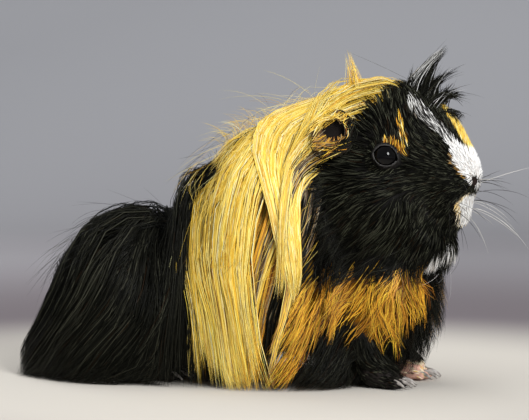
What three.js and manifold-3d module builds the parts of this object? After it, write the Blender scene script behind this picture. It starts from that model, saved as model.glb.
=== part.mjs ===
// A long-haired guinea pig, life-size, sitting with its forequarters raised, its coat down to the floor.
// Millimetres, +Z up, +X towards the nose, +Y the animal's left. The solids are the coat's outer form,
// parted by thin cuts into head, neck, trunk and hindquarters; legs, claws, ears and eyes are pieces.
import * as THREE from "three";
import { LoftGeometry } from "three/addons/geometries/LoftGeometry.js";
import { mergeVertices } from "three/addons/utils/BufferGeometryUtils.js";
import Module from "manifold-3d";

const wasm = await Module();
wasm.setup();

// ---- driving sizes -------------------------------------------------------------------------------------

const GAP = 0.3; // clearance between neighbouring pieces
const HEAD_TURN = 5; // degrees, the head turned to the animal's right
const HEAD_PIVOT = new THREE.Vector3(40, 0, 0); // the upright axis that the head turns on
const BODY_CELL = 9; // mesh size on the trunk
const HEAD_CELL = 6.2; // mesh size on the head
const HEAD_MESH_FROM = 22; // the finer mesh starts this far forward
const UNDERLAP = 6; // the coat is meshed this far below the floor, then cut off flat
const BLEND = 11; // how softly the coat's masses run together
const SOFT = 6; // the same, on the face

// The coat's masses: centre and half sizes, pitch in degrees (nose down), and whether hair falls from the
// widest line straight to the floor as a curtain.
const BODY_MASSES = [
  { name: "rump", at: [-57, 0, 12], half: [49, 56, 68], curtain: true },
  { name: "flanks", at: [-22, 0, 16], half: [38, 50, 49], curtain: true },
  { name: "shoulders", at: [15, 0, 48], half: [50, 53, 76], curtain: true },
  { name: "chest", at: [66, 0, 38], half: [26, 30, 36] },
  { name: "nape", at: [44, 0, 95], half: [34, 31, 37], pitch: -12 },
];
const HEAD_MASSES = [
  { name: "skull", at: [76, 0, 105], half: [33, 24, 27], pitch: 34 },
  { name: "crown", at: [66, 0, 120], half: [25, 18, 16], pitch: -16 },
  { name: "muzzle", at: [97, 0, 95], half: [15, 13.5, 14], pitch: 30 },
  { name: "lips", at: [98, 0, 80], half: [9, 11.5, 11], pitch: -20 },
  { name: "throat", at: [85, 0, 66], half: [19, 19, 19], pitch: -30 },
];
const CHEEK = { name: "cheek", at: [66, 13, 80], half: [25, 20, 25] };

// The forelock stands up from the brow in two points: base, tip, base radius.
const FORELOCK = [
  { from: [82, 1, 121], to: [94.5, 1, 148], radius: 9 },
  { from: [85, 0, 118], to: [103, 2, 132], radius: 8 },
];
const LOCK_TIP = 2.2;

const EYE = { at: [75.6, 22.3, 102.4], radius: 5.8 };
// An ear hangs beside the head: its root, the way its length runs, and the way its hollow faces.
const EAR = { root: [56, 22, 121], along: [-0.3, 0.52, -0.8], facing: [0.6, 0.76, 0.26] };
const PETAL = { length: 23, width: 19, thick: 2, cup: 4, curl: 3 };

// A limb: elbow or hock, ankle, arm radius, the paw and its half sizes, and the room the coat leaves it.
const FORE = {
  joint: [56, 20, 30],
  bend: [66, 18, 9],
  arm: 7.5,
  paw: [69, 17.5, 5.4],
  half: [9, 7.4, 6],
  room: { at: [73, 18, 3], half: [20, 13, 14] },
};
const HIND = {
  joint: [-58, 26, 12],
  bend: [-54, 26.5, 7.5],
  arm: 6.5,
  paw: [-42, 28, 5],
  half: [17, 7.2, 5.6],
  room: { at: [-38, 29, 2], half: [29, 14, 15] },
};
// Toes fan out from the paw: count, fan in degrees, length, radius, and where their roots lie.
const FORE_TOES = { count: 4, fan: 30, length: 8.2, radius: 2.3, reach: 4.5, spread: 9.6 };
const HIND_TOES = { count: 3, fan: 20, length: 9.5, radius: 2.6, reach: 12.5, spread: 9.2 };
const CLAW = { length: 6.2, root: 1.15, tip: 0.35, curl: 52 };
const BELLY = { middle: -24, length: 148, width: 84, lift: 3 }; // the underside, clear of the floor

// The cuts that part the body: a point on each plane, and how far its top leans forward, in degrees.
const HEAD_CUT = { x: 54, z: 92, lean: -25 };
const NECK_CUT = { x: 28, z: 86, lean: -28 };
const THROAT_CUT = { x: 80, z: 47, lean: -96 };
const RUMP_CUT = { x: -20, z: 40, lean: -9 };

// ---- materials -----------------------------------------------------------------------------------------

const paint = (color, roughness) => new THREE.MeshStandardMaterial({ color, roughness, metalness: 0 });
const MATERIALS = {
  blackCoat: paint(0x16130f, 0.55),
  goldCoat: paint(0xd39a2c, 0.55),
  darkSkin: paint(0x2b2320, 0.6),
  pinkSkin: paint(0xc99480, 0.6),
  claw: paint(0xb9b2aa, 0.4),
  eye: paint(0x070504, 0.08),
};

// ---- the coat as one implicit form ---------------------------------------------------------------------

const rad = THREE.MathUtils.degToRad;
const UPRIGHT = new THREE.Vector3(0, 0, 1);

/** Turns a point of the straight head to where it lies on the turned one, or back with a negative angle. */
function turned(point, degrees = HEAD_TURN) {
  return point.sub(HEAD_PIVOT).applyAxisAngle(UPRIGHT, rad(-degrees)).add(HEAD_PIVOT);
}

/** Roughly how far point lies outside an ellipsoid, negative inside. */
function massDistance(point, mass) {
  const [cx, cy, cz] = mass.at;
  const fallen = mass.curtain ? Math.max(point.z, cz) : point.z;
  const pitch = rad(mass.pitch ?? 0);
  const dx = point.x - cx;
  const dz = fallen - cz;
  const x = dx * Math.cos(pitch) - dz * Math.sin(pitch);
  const z = dx * Math.sin(pitch) + dz * Math.cos(pitch);
  const [a, b, c] = mass.half;
  const near = Math.hypot(x / a, (point.y - cy) / b, z / c);
  const slope = Math.hypot(x / a ** 2, (point.y - cy) / b ** 2, z / c ** 2);
  return slope > 1e-9 ? (near * (near - 1)) / slope : -Math.min(a, b, c);
}

/** The union of two distances, rounded where they meet. */
function blended(a, b, softness) {
  const mix = THREE.MathUtils.clamp(0.5 + (0.5 * (b - a)) / softness, 0, 1);
  return THREE.MathUtils.lerp(b, a, mix) - softness * mix * (1 - mix);
}

/** The whole coat: negative inside, closed a little below the floor. */
function coatDistance(point) {
  const spread = BODY_MASSES.map((mass) => massDistance(point, mass));
  const body = spread.reduce((a, b) => blended(a, b, BLEND));
  const straight = turned(point.clone(), -HEAD_TURN);
  const folded = new THREE.Vector3(straight.x, Math.abs(straight.y), straight.z);
  const head = [
    ...HEAD_MASSES.map((mass) => massDistance(straight, mass)),
    massDistance(folded, CHEEK),
  ].reduce((a, b) => blended(a, b, SOFT));
  const whole = blended(body, head, BLEND);
  return Math.max(whole, -UNDERLAP - point.z);
}

/** Meshes the zero surface of a distance function inside a box: one vertex per crossed cell, then settled. */
function surfaceOf(distance, low, high, cell) {
  const count = high.clone().sub(low).divideScalar(cell).ceil().addScalar(1);
  const [nx, ny, nz] = [count.x, count.y, count.z];
  const place = (i, j, k) => new THREE.Vector3(i, j, k).multiplyScalar(cell).add(low);
  const index = (i, j, k) => (k * ny + j) * nx + i;
  const values = new Float32Array(nx * ny * nz);
  for (let k = 0; k < nz; k++)
    for (let j = 0; j < ny; j++)
      for (let i = 0; i < nx; i++) values[index(i, j, k)] = distance(place(i, j, k));

  const corners = [0, 1, 2, 3, 4, 5, 6, 7].map((c) => [c & 1, (c >> 1) & 1, (c >> 2) & 1]);
  const edges = corners.flatMap((_, a) =>
    [1, 2, 4].filter((bit) => !(a & bit)).map((bit) => [a, a | bit]),
  );
  const vertexAt = new Map();
  const vertices = [];
  for (let k = 0; k < nz - 1; k++)
    for (let j = 0; j < ny - 1; j++)
      for (let i = 0; i < nx - 1; i++) {
        const held = corners.map(([a, b, c]) => values[index(i + a, j + b, k + c)]);
        const crossed = edges.filter(([a, b]) => held[a] < 0 !== held[b] < 0);
        if (!crossed.length) continue;
        const sum = new THREE.Vector3();
        for (const [a, b] of crossed) {
          const share = held[a] / (held[a] - held[b]);
          const start = place(i + corners[a][0], j + corners[a][1], k + corners[a][2]);
          const end = place(i + corners[b][0], j + corners[b][1], k + corners[b][2]);
          sum.add(start.lerp(end, share));
        }
        vertexAt.set(index(i, j, k), vertices.length);
        vertices.push(sum.divideScalar(crossed.length));
      }

  const faces = [];
  const quad = (a, b, c, d, flipped) => {
    const ring = [a, b, c, d].map((cellIndex) => vertexAt.get(cellIndex));
    if (flipped) ring.reverse();
    faces.push(ring[0], ring[1], ring[2], ring[0], ring[2], ring[3]);
  };
  for (let k = 1; k < nz - 1; k++)
    for (let j = 1; j < ny - 1; j++)
      for (let i = 1; i < nx - 1; i++) {
        const here = values[index(i, j, k)] < 0;
        if (here !== values[index(i + 1, j, k)] < 0)
          quad(index(i, j - 1, k - 1), index(i, j, k - 1), index(i, j, k), index(i, j - 1, k), !here);
        if (here !== values[index(i, j + 1, k)] < 0)
          quad(index(i - 1, j, k - 1), index(i - 1, j, k), index(i, j, k), index(i, j, k - 1), !here);
        if (here !== values[index(i, j, k + 1)] < 0)
          quad(index(i - 1, j - 1, k), index(i, j - 1, k), index(i, j, k), index(i - 1, j, k), !here);
      }
  return new THREE.BufferGeometry()
    .setAttribute("position", new THREE.Float32BufferAttribute(vertices.flatMap((v) => v.toArray()), 3))
    .setIndex(faces);
}

// ---- joining and cutting -------------------------------------------------------------------------------

/** A closed geometry as a solid that can be joined and cut. */
function solid(geometry) {
  const bare = new THREE.BufferGeometry().copy(geometry);
  bare.deleteAttribute("normal");
  bare.deleteAttribute("uv");
  const merged = mergeVertices(bare, 1e-4);
  return new wasm.Manifold(
    new wasm.Mesh({
      numProp: 3,
      vertProperties: new Float32Array(merged.attributes.position.array),
      triVerts: new Uint32Array(merged.index.array),
    }),
  );
}

/** A solid back as a geometry. */
function geometryOf(made) {
  const { numProp, numVert, vertProperties, triVerts } = made.getMesh();
  const places = new Float32Array(numVert * 3);
  for (let i = 0; i < numVert; i++)
    places.set(vertProperties.subarray(i * numProp, i * numProp + 3), i * 3);
  const geometry = new THREE.BufferGeometry();
  geometry.setAttribute("position", new THREE.BufferAttribute(places, 3));
  geometry.setIndex(new THREE.BufferAttribute(triVerts, 1));
  geometry.computeVertexNormals();
  return geometry;
}

const LARGE = 600;

/** Everything ahead of a leaning plane, or behind it, kept half a gap away from the plane. */
function halfSpace(cut, ahead) {
  const side = ahead ? 1 : -1;
  const block = new THREE.BoxGeometry(LARGE, LARGE, LARGE);
  block.translate((side * (LARGE + GAP)) / 2, 0, 0);
  block.rotateY(rad(cut.lean));
  block.translate(cut.x, 0, cut.z);
  return solid(block);
}

/** Everything above the floor. */
function aboveFloor() {
  return solid(new THREE.BoxGeometry(LARGE, LARGE, LARGE).translate(0, 0, LARGE / 2));
}

// ---- the pieces ----------------------------------------------------------------------------------------

/** A point given for the left side, on the given side. */
const mirrored = ([x, y, z], side) => [x, side * y, z];

/** An ellipsoid, grown by a clearance. */
function ellipsoid(at, half, grow = 0) {
  const ball = new THREE.SphereGeometry(1, 12, 7);
  ball.scale(half[0] + grow, half[1] + grow, half[2] + grow);
  return solid(ball.translate(...at));
}

/** A shape that stands along +Y at the origin, laid so that it runs from one point towards another. */
function laid(shape, from, to) {
  const axis = new THREE.Vector3(...to).sub(new THREE.Vector3(...from)).normalize();
  shape.applyQuaternion(new THREE.Quaternion().setFromUnitVectors(new THREE.Vector3(0, 1, 0), axis));
  return solid(shape.translate(...from));
}

const span = (from, to) => Math.hypot(to[0] - from[0], to[1] - from[1], to[2] - from[2]);

/** A round-ended bar between two points. */
function bar(from, to, radius, sides = 8) {
  const length = span(from, to);
  const shape = new THREE.CapsuleGeometry(radius, length, sides / 2 - 1, sides);
  return laid(shape.translate(0, length / 2, 0), from, to);
}

/** A lock of hair that tapers from its base to its tip. */
function lock({ from, to, radius }) {
  const length = span(from, to);
  const shape = new THREE.CylinderGeometry(LOCK_TIP, radius, length, 9);
  return withHead(laid(shape.translate(0, length / 2, 0), from, to));
}

/** Where each toe of a foot starts, and which way it points, for the foot on the given side. */
function toesOf(limb, toes, side) {
  return Array.from({ length: toes.count }, (_, i) => {
    const share = i / (toes.count - 1) - 0.5;
    const heading = rad(share * toes.fan + 4);
    const [x, y] = limb.paw;
    const root = [x + toes.reach - Math.abs(share) * 2.4, y + share * toes.spread, toes.radius];
    const start = new THREE.Vector3(...mirrored(root, side));
    const direction = new THREE.Vector3(Math.cos(heading), side * Math.sin(heading), 0);
    return { start, direction, tip: start.clone().addScaledVector(direction, toes.length - toes.radius) };
  });
}

/** The upper part of a leg, from its elbow or hock to the ankle, grown by a clearance. */
function arm(limb, side, grow = 0) {
  return bar(mirrored(limb.joint, side), mirrored(limb.bend, side), limb.arm + grow);
}

/** A whole leg down to the toes, standing flat on the floor. */
function leg(limb, toes, side) {
  const paw = mirrored(limb.paw, side);
  let made = arm(limb, side).add(bar(mirrored(limb.bend, side), paw, limb.arm * 0.72));
  made = made.add(ellipsoid(paw, limb.half));
  for (const toe of toesOf(limb, toes, side))
    made = made.add(bar(toe.start.toArray(), toe.tip.toArray(), toes.radius, 6));
  return made.intersect(aboveFloor());
}

/** The room that the coat leaves a leg: around the arm, and a low dome over the foot. */
function legRoom(limb, side) {
  return arm(limb, side, GAP).add(ellipsoid(mirrored(limb.room.at, side), limb.room.half));
}

/** A claw that curls down from a toe's tip. Its rings shrink along an arc. */
function claw(toe, toes, grow = 0) {
  const rings = 3;
  const sides = 5;
  const sections = [];
  const across = new THREE.Vector3(-toe.direction.y, toe.direction.x, 0);
  const centre = toe.tip.clone().addScaledVector(toe.direction, 0.2);
  centre.addScaledVector(UPRIGHT, toes.radius * 0.45);
  for (let i = 0; i <= rings; i++) {
    const share = i / rings;
    const pitch = rad(CLAW.curl) * share;
    const radius = THREE.MathUtils.lerp(CLAW.root, CLAW.tip, share) + grow;
    const along = toe.direction.clone().multiplyScalar(Math.cos(pitch));
    along.addScaledVector(UPRIGHT, -Math.sin(pitch));
    const up = new THREE.Vector3().crossVectors(along, across);
    sections.push(
      Array.from({ length: sides }, (_, j) => {
        const turn = (2 * Math.PI * j) / sides;
        return centre
          .clone()
          .addScaledVector(across, radius * Math.cos(turn))
          .addScaledVector(up, radius * 1.25 * Math.sin(turn));
      }),
    );
    centre.addScaledVector(along, CLAW.length / rings);
  }
  return solid(new LoftGeometry(sections, { capStart: true, capEnd: true }));
}

/** The ear: a petal with a thin rim, cupped across its width and curling back at its tip. */
function ear(side, grow = 0) {
  const { length, width, thick, cup, curl } = PETAL;
  const half = width / 2;
  const outline = new THREE.Shape();
  outline.moveTo(0, -half * 0.42);
  outline.bezierCurveTo(length * 0.3, -half * 1.35, length * 0.95, -half * 1.15, length, half * 0.05);
  outline.bezierCurveTo(length * 0.96, half * 1.15, length * 0.35, half * 1.3, 0, half * 0.42);
  const petal = new THREE.ExtrudeGeometry(outline, {
    depth: thick * 0.4 + 2 * grow,
    curveSegments: 9,
    bevelThickness: thick * 0.3,
    bevelSize: 0.6 + grow,
    bevelOffset: -0.6,
    bevelSegments: 1,
  });
  const places = petal.attributes.position;
  for (let i = 0; i < places.count; i++) {
    const across = places.getY(i) / half;
    const out = places.getX(i) / length;
    places.setZ(i, places.getZ(i) - thick * 0.2 - grow + cup * across ** 2 - curl * out ** 2);
  }
  const along = new THREE.Vector3(...EAR.along).normalize();
  const facing = new THREE.Vector3(...EAR.facing).normalize();
  const across = new THREE.Vector3().crossVectors(facing, along);
  petal.applyMatrix4(new THREE.Matrix4().makeBasis(along, across, facing));
  const made = solid(petal.translate(...EAR.root));
  return side > 0 ? made : made.mirror([0, 1, 0]);
}

/** A solid of the straight head, turned with the head. */
function withHead(made) {
  const back = [-HEAD_PIVOT.x, -HEAD_PIVOT.y, 0];
  return made.translate(back).rotate([0, 0, -HEAD_TURN]).translate([HEAD_PIVOT.x, HEAD_PIVOT.y, 0]);
}

/** An eyeball, grown by a clearance when it cuts its socket. */
function eyeball(side, grow = 0) {
  const [x, y, z] = EYE.at;
  return withHead(ellipsoid([x, side * y, z], [EYE.radius, EYE.radius, EYE.radius], grow));
}

// ---- assembly ------------------------------------------------------------------------------------------

const SIDES = { right: -1, left: 1 };
const LIMBS = { fore: [FORE, FORE_TOES], hind: [HIND, HIND_TOES] };
const LOW = new THREE.Vector3(-122, -72, -UNDERLAP - 1.5 * BODY_CELL);
const HIGH = new THREE.Vector3(126, 72, 166);

const pieces = new Map();
const cutters = [];
for (const [word, side] of Object.entries(SIDES)) {
  for (const [limb, [place, toes]] of Object.entries(LIMBS)) {
    let bare = leg(place, toes, side);
    cutters.push(legRoom(place, side));
    toesOf(place, toes, side).forEach((toe, i) => {
      pieces.set(`${limb}claw_${word}_${i + 1}`, [claw(toe, toes).intersect(aboveFloor()), "claw"]);
      bare = bare.subtract(claw(toe, toes, GAP));
    });
    pieces.set(`${limb}leg_${word}`, [bare, limb === "fore" && side > 0 ? "pinkSkin" : "darkSkin"]);
  }
  pieces.set(`eye_${word}`, [eyeball(side), "eye"]);
  pieces.set(`ear_${word}`, [withHead(ear(side)), "darkSkin"]);
  cutters.push(eyeball(side, GAP), withHead(ear(side, GAP)));
}

/** A slice of the coat with room for the pieces set into it, without the slivers that a cut can leave. */
function parted(slice) {
  const cleared = cutters.reduce((held, cutter) => held.subtract(cutter), slice);
  return cleared.decompose().sort((a, b) => b.volume() - a.volume())[0];
}

const faceDistance = (point) => Math.max(coatDistance(point), HEAD_MESH_FROM - point.x);
const faceLow = new THREE.Vector3(HEAD_MESH_FROM - 1.5 * HEAD_CELL, LOW.y, LOW.z);
const bald = solid(surfaceOf(faceDistance, faceLow, HIGH, HEAD_CELL)).intersect(aboveFloor());
const face = FORELOCK.map(lock).reduce((held, tuft) => held.add(tuft), bald);
const hollow = new THREE.CylinderGeometry(0.5, 0.5, 2 * BELLY.lift, 24).rotateX(Math.PI / 2);
hollow.scale(BELLY.length, BELLY.width, 1).translate(BELLY.middle, 0, 0);
const filled = solid(surfaceOf(coatDistance, LOW, HIGH, BODY_CELL)).intersect(aboveFloor());
const body = filled.subtract(solid(hollow));

const aboveThroat = halfSpace(THROAT_CUT, true);
const belowThroat = halfSpace(THROAT_CUT, false);
const behindNeck = halfSpace(NECK_CUT, false);
const beforeRump = body.intersect(halfSpace(RUMP_CUT, true));
const collar = body.intersect(halfSpace(NECK_CUT, true)).intersect(halfSpace(HEAD_CUT, false));
pieces.set("head", [parted(face.intersect(halfSpace(HEAD_CUT, true)).intersect(aboveThroat)), "blackCoat"]);
pieces.set("neck", [parted(collar.intersect(aboveThroat)), "goldCoat"]);
pieces.set("trunk", [parted(beforeRump.intersect(behindNeck.add(belowThroat))), "goldCoat"]);
pieces.set("hindquarters", [parted(body.intersect(halfSpace(RUMP_CUT, false))), "blackCoat"]);

const guineaPig = new THREE.Group();
for (const [name, [made, material]] of pieces) {
  const mesh = new THREE.Mesh(geometryOf(made), MATERIALS[material]);
  mesh.name = name;
  guineaPig.add(mesh);
}

// The origin is the middle of the underside of the whole form's box.
const box = new THREE.Box3().setFromObject(guineaPig);
guineaPig.position.set(-(box.min.x + box.max.x) / 2, -(box.min.y + box.max.y) / 2, -box.min.z);

export default guineaPig;
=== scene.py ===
import math

import bpy
import numpy as np
from bpy.props import FloatProperty, FloatVectorProperty, IntProperty, PointerProperty
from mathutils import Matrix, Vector


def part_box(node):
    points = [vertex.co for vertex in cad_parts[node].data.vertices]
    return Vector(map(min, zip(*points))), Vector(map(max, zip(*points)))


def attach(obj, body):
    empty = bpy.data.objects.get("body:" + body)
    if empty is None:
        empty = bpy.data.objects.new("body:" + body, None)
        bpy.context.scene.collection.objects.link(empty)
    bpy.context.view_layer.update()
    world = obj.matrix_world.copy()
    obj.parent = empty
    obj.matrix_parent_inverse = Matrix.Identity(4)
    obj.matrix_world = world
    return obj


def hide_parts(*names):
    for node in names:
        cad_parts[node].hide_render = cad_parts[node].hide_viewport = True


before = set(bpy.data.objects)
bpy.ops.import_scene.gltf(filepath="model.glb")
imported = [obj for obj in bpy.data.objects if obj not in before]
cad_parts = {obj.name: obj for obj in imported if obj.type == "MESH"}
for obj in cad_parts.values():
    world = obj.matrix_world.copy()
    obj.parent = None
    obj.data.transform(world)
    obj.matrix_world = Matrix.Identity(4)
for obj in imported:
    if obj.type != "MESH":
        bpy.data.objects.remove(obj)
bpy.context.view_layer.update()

bl_info = {
    "name": "Long-haired guinea pig",
    "version": (1, 0, 0),
    "blender": (4, 5, 0),
    "location": "View3D > Sidebar > Guinea Pig",
    "description": "A life-size guinea pig with a long coat, as skin, eyes, claws and solid locks of hair",
    "category": "Object",
}

MM = 0.001
F32 = np.float32
FAR = 1e3  # longer than anything on the animal, in millimetres

# ---- the form, in millimetres: +X to the nose, +Y to the animal's left, +Z up ---------------------------

HEAD_TURN = math.radians(5.0)  # the head is turned to the animal's right
PIVOT = np.array([40.0, 0.0, 0.0], F32)
EYE = np.array([75.6, 22.3, 102.4], F32)
EYE_RADIUS = 5.8
EYE_OUT = (0.30, 0.93, 0.14)  # the way the left eye looks, in the straight head
SLIT_RADIUS = 5.1  # of the two rounds whose overlap is the opening between the lids
LID_THICKNESS = 0.9


def spun(p, angle):
    """Turns points about the upright axis through the pivot."""
    c, s = math.cos(angle), math.sin(angle)
    d = p - PIVOT
    return np.stack([d[:, 0] * c - d[:, 1] * s, d[:, 0] * s + d[:, 1] * c, d[:, 2]], 1) + PIVOT


def turned(p):
    """From the straight head to the turned one."""
    return spun(p, -HEAD_TURN)


def straight(p):
    """From the turned head back to the straight one."""
    return spun(p, HEAD_TURN)


def eye_offset():
    """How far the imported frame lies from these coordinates, read from the left eye's box."""
    low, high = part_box("eye_left")
    centre = np.array((low + high) / 2 / MM, F32)
    return centre - turned(EYE[None, :])[0]


OFFSET = eye_offset()


def mass(p, at, half, pitch=0.0, falls=False):
    """Roughly how far each point lies outside an ellipsoid, which may fall straight to the floor."""
    z = np.maximum(p[:, 2], at[2]) if falls else p[:, 2]
    c, s = math.cos(math.radians(pitch)), math.sin(math.radians(pitch))
    dx, dy, dz = p[:, 0] - at[0], p[:, 1] - at[1], z - at[2]
    x, z = dx * c - dz * s, dx * s + dz * c
    a, b, h = half
    near = np.sqrt((x / a) ** 2 + (dy / b) ** 2 + (z / h) ** 2) + 1e-9
    slope = np.sqrt((x / a**2) ** 2 + (dy / b**2) ** 2 + (z / h**2) ** 2) + 1e-9
    return near * (near - 1) / slope


def bar(p, start, end, r0, r1=None):
    """Distance to a round bar, whose radius may taper."""
    a = np.array(start, F32)
    axis = np.array(end, F32) - a
    t = np.clip(((p - a) @ axis) / (axis @ axis), 0, 1)
    near = np.linalg.norm(p - a - t[:, None] * axis, axis=1)
    return near - (r0 if r1 is None else r0 + (r1 - r0) * t)


def blend(a, b, soft):
    """The union of two distances, rounded where they meet."""
    mix = np.clip(0.5 + 0.5 * (b - a) / soft, 0, 1)
    return b + (a - b) * mix - soft * mix * (1 - mix)


def carve(a, b, soft):
    """Takes the form b out of the form a, with a soft edge."""
    return -blend(-a, b, soft)


def merged(parts, soft):
    """The union of several forms, rounded where they meet."""
    whole = parts[0]
    for part in parts[1:]:
        whole = blend(whole, part, soft)
    return whole


def folded(p):
    """Both sides laid onto the left one."""
    return np.stack([p[:, 0], np.abs(p[:, 1]), p[:, 2]], 1)


def smooth(low, high, value):
    """0 at low and 1 at high, with an eased step between. Low may be the greater of the two."""
    t = np.clip((value - low) / (high - low), 0, 1)
    return t * t * (3 - 2 * t)


# The outer form of the coat, as the solids have it: centre, half sizes, pitch, and whether it falls.
COAT_BODY = [
    ((-56.5, 0, 12), (48, 56, 68), 0, True),
    ((-22, 0, 16), (38, 50, 49), 0, True),
    ((-20, 0, 40), (15.5, 37, 61), 0, True),
    ((15, 0, 48), (50, 53, 76), 0, True),
    ((66, 0, 38), (26, 30, 36), 0, False),
    ((44, 0, 95), (34, 31, 37), -12, False),
]
COAT_HEAD = [
    ((76, 0, 105), (33, 24, 27), 34),
    ((66, 0, 120), (25, 18, 16), -16),
    ((97, 0, 95), (15, 13.5, 14), 30),
    ((98, 0, 80), (9, 11.5, 11), -20),
    ((85, 0, 66), (19, 19, 19), -30),
]
COAT_CHEEK = ((66, 13, 80), (25, 20, 25))

# The body inside the coat.
FLESH_BODY = [
    ((-57, 0, 31), (41, 44, 40), 0),
    ((-20, 0, 42), (40, 38, 24), 0),
    ((17, 0, 64), (36, 40, 49), 0),
    ((60, 0, 44), (26, 27, 34), 0),
    ((43, 0, 94), (29, 26, 31), -12),
]
FLESH_HEAD = [
    ((76, 0, 103.5), (31, 21.5, 25), 34),
    ((66, 0, 118), (23, 16, 14), -16),
    ((96.5, 0, 94.5), (13.8, 12.2, 12.6), 30),
    ((97, 0, 80.5), (8.0, 10.2, 9.4), -20),
    ((82, 0, 67), (15, 15, 15), -30),
]
FLESH_CHEEK = ((66, 12, 81), (21, 17, 21))
FLESH_LIFT = 4.0  # the belly clears the floor
SOLE_HEIGHT = 0.15  # the soles are flat just over it


def envelope(p):
    """The coat's outer form, negative inside."""
    body = merged([mass(p, *m) for m in COAT_BODY], 11)
    q = straight(p)
    head = merged([mass(q, *m) for m in COAT_HEAD] + [mass(folded(q), *COAT_CHEEK)], 6)
    return blend(body, head, 11)


def body_form(p):
    """The bald body and head, without legs, ears and the face's small parts."""
    body = merged([mass(p, *m) for m in FLESH_BODY], 12)
    q = straight(p)
    head = merged([mass(q, *m) for m in FLESH_HEAD] + [mass(folded(q), *FLESH_CHEEK)], 6)
    return np.maximum(blend(body, head, 11), FLESH_LIFT - p[:, 2])


FORE = {
    "joint": (56, 20, 30),
    "bend": (66, 18, 9),
    "arm": 6.8,
    "paw": (69, 17.5, 5.4),
    "half": (8.4, 6.8, 5.3),
}
HIND = {
    "joint": (-58, 26, 12),
    "bend": (-54, 26.5, 7.5),
    "arm": 6.2,
    "paw": (-42, 28, 5),
    "half": (16, 6.6, 4.9),
}
FORE_TOES = {"count": 4, "fan": 30, "length": 8.2, "radius": 2.3, "reach": 4.5, "spread": 9.6}
HIND_TOES = {"count": 3, "fan": 20, "length": 9.5, "radius": 2.6, "reach": 12.5, "spread": 9.2}
LIMBS = {"fore": (FORE, FORE_TOES), "hind": (HIND, HIND_TOES)}


def toes_of(limb, toes):
    """Start, tip and direction of each toe on the left side."""
    made = []
    for i in range(toes["count"]):
        share = i / (toes["count"] - 1) - 0.5
        heading = math.radians(share * toes["fan"] + 4)
        x, y, _ = limb["paw"]
        start = np.array([x + toes["reach"] - abs(share) * 2.4, y + share * toes["spread"], toes["radius"]])
        way = np.array([math.cos(heading), math.sin(heading), 0.0])
        made.append((start, start + way * (toes["length"] - toes["radius"]), way))
    return made


def limb_form(p, limb, toes):
    """One leg of the left side, with its toes and the soft pads at their tips."""
    f = folded(p)
    upper = bar(f, limb["joint"], limb["bend"], limb["arm"])
    lower = bar(f, limb["bend"], limb["paw"], limb["arm"] * 0.7)
    made = blend(upper, lower, 4)
    made = blend(made, mass(f, limb["paw"], limb["half"]), 3)
    r = toes["radius"]
    for start, tip, way in toes_of(limb, toes):
        knuckle = (start + tip) / 2 + np.array([0, 0, 0.7])
        toe = blend(bar(f, start, knuckle, r * 0.95), bar(f, knuckle, tip, r * 0.88, r * 0.8), 0.8)
        made = blend(made, toe, 1.1)
    return made


EAR_CENTRE = np.array([52.6, 28.0, 111.8], F32)
EAR_HOLLOW = np.array([54.3, 28.0, 114.3], F32)
EAR_ALONG = np.array([-0.3, 0.52, -0.8], F32)
EAR_FACING = np.array([0.6, 0.76, 0.26], F32)
EAR_CUP = ((0.5, 0, 4.4), (11.6, 9.2, 6.8))  # centre and half sizes, in the ear's own axes
EAR_THICKNESS = 0.85


def unit(v):
    """Vectors of length one."""
    return v / (np.linalg.norm(v, axis=-1, keepdims=True) + 1e-9)


def ear_axes():
    """Along the left ear, across it, and out of its cup."""
    along = unit(EAR_ALONG)
    facing = unit(EAR_FACING - along * (EAR_FACING @ along))
    return along, np.cross(facing, along), facing


def in_ear_axes(f):
    """Points of the folded straight head along, across and out of the ear."""
    along, across, facing = ear_axes()
    d = f - EAR_CENTRE
    return np.stack([d @ along, d @ across, d @ facing], 1)


def ear_form(f):
    """A thin cup that opens outwards, in the folded straight head."""
    q = in_ear_axes(f)
    x, y, z = q.T
    shell = np.abs(mass(q, *EAR_CUP)) - EAR_THICKNESS
    rim = 2.0 + 0.9 * np.sin(x * 0.42 + 0.6) + 0.5 * np.sin(y * 0.7)
    return carve(shell, -(z - rim), 0.9)


def eye_axes():
    """Outwards, ahead and up over the left eye of the straight head."""
    out = unit(np.array(EYE_OUT, F32))
    ahead = unit(np.array([0.93, -0.28, -0.24], F32))
    ahead = unit(ahead - out * (ahead @ out))
    up = np.cross(ahead, out)
    return out, ahead, up if up[2] > 0 else -up


def eye_slit(f):
    """How far each point lies outside the opening between the lids, an almond."""
    out, ahead, up = eye_axes()
    d = f - EYE
    a, u = d @ ahead, d @ up
    almond = np.maximum(np.hypot(a - 0.2, u - 0.9), np.hypot(a - 0.2, u + 1.1)) - SLIT_RADIUS
    return np.maximum(almond, -(d @ out) + 0.5)


def face_form(p, whole):
    """Adds ears, lids, nostrils and the mouth to the form."""
    f = folded(straight(p))
    whole = blend(whole, ear_form(f), 1.8)
    ball = np.linalg.norm(f - EYE, axis=1)
    whole = blend(whole, ball - (EYE_RADIUS + LID_THICKNESS), 2.4)
    whole = carve(whole, eye_slit(f), 0.6)
    whole = np.maximum(whole, (EYE_RADIUS + 0.08) - ball)
    nostril = bar(f, (110.4, 2.0, 91.6), (107.4, 6.0, 93.6), 0.9, 1.15)
    whole = carve(whole, nostril, 1.0)
    groove = bar(f, (112.5, 0, 90), (108.0, 0, 81), 0.5)
    whole = carve(whole, groove, 1.2)
    bend = (101.5, 6.5, 77)
    mouth = merged([bar(f, (107.5, 0, 78.5), bend, 0.7), bar(f, bend, (92, 11.5, 73), 0.6)], 1)
    return carve(whole, mouth, 1.4)


def skin_form(p):
    """The whole skin."""
    whole = body_form(p)
    for limb, toes in LIMBS.values():
        whole = blend(whole, limb_form(p, limb, toes), 3.0)
    whole = face_form(p, whole)
    return np.maximum(whole, SOLE_HEIGHT - p[:, 2])


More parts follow.
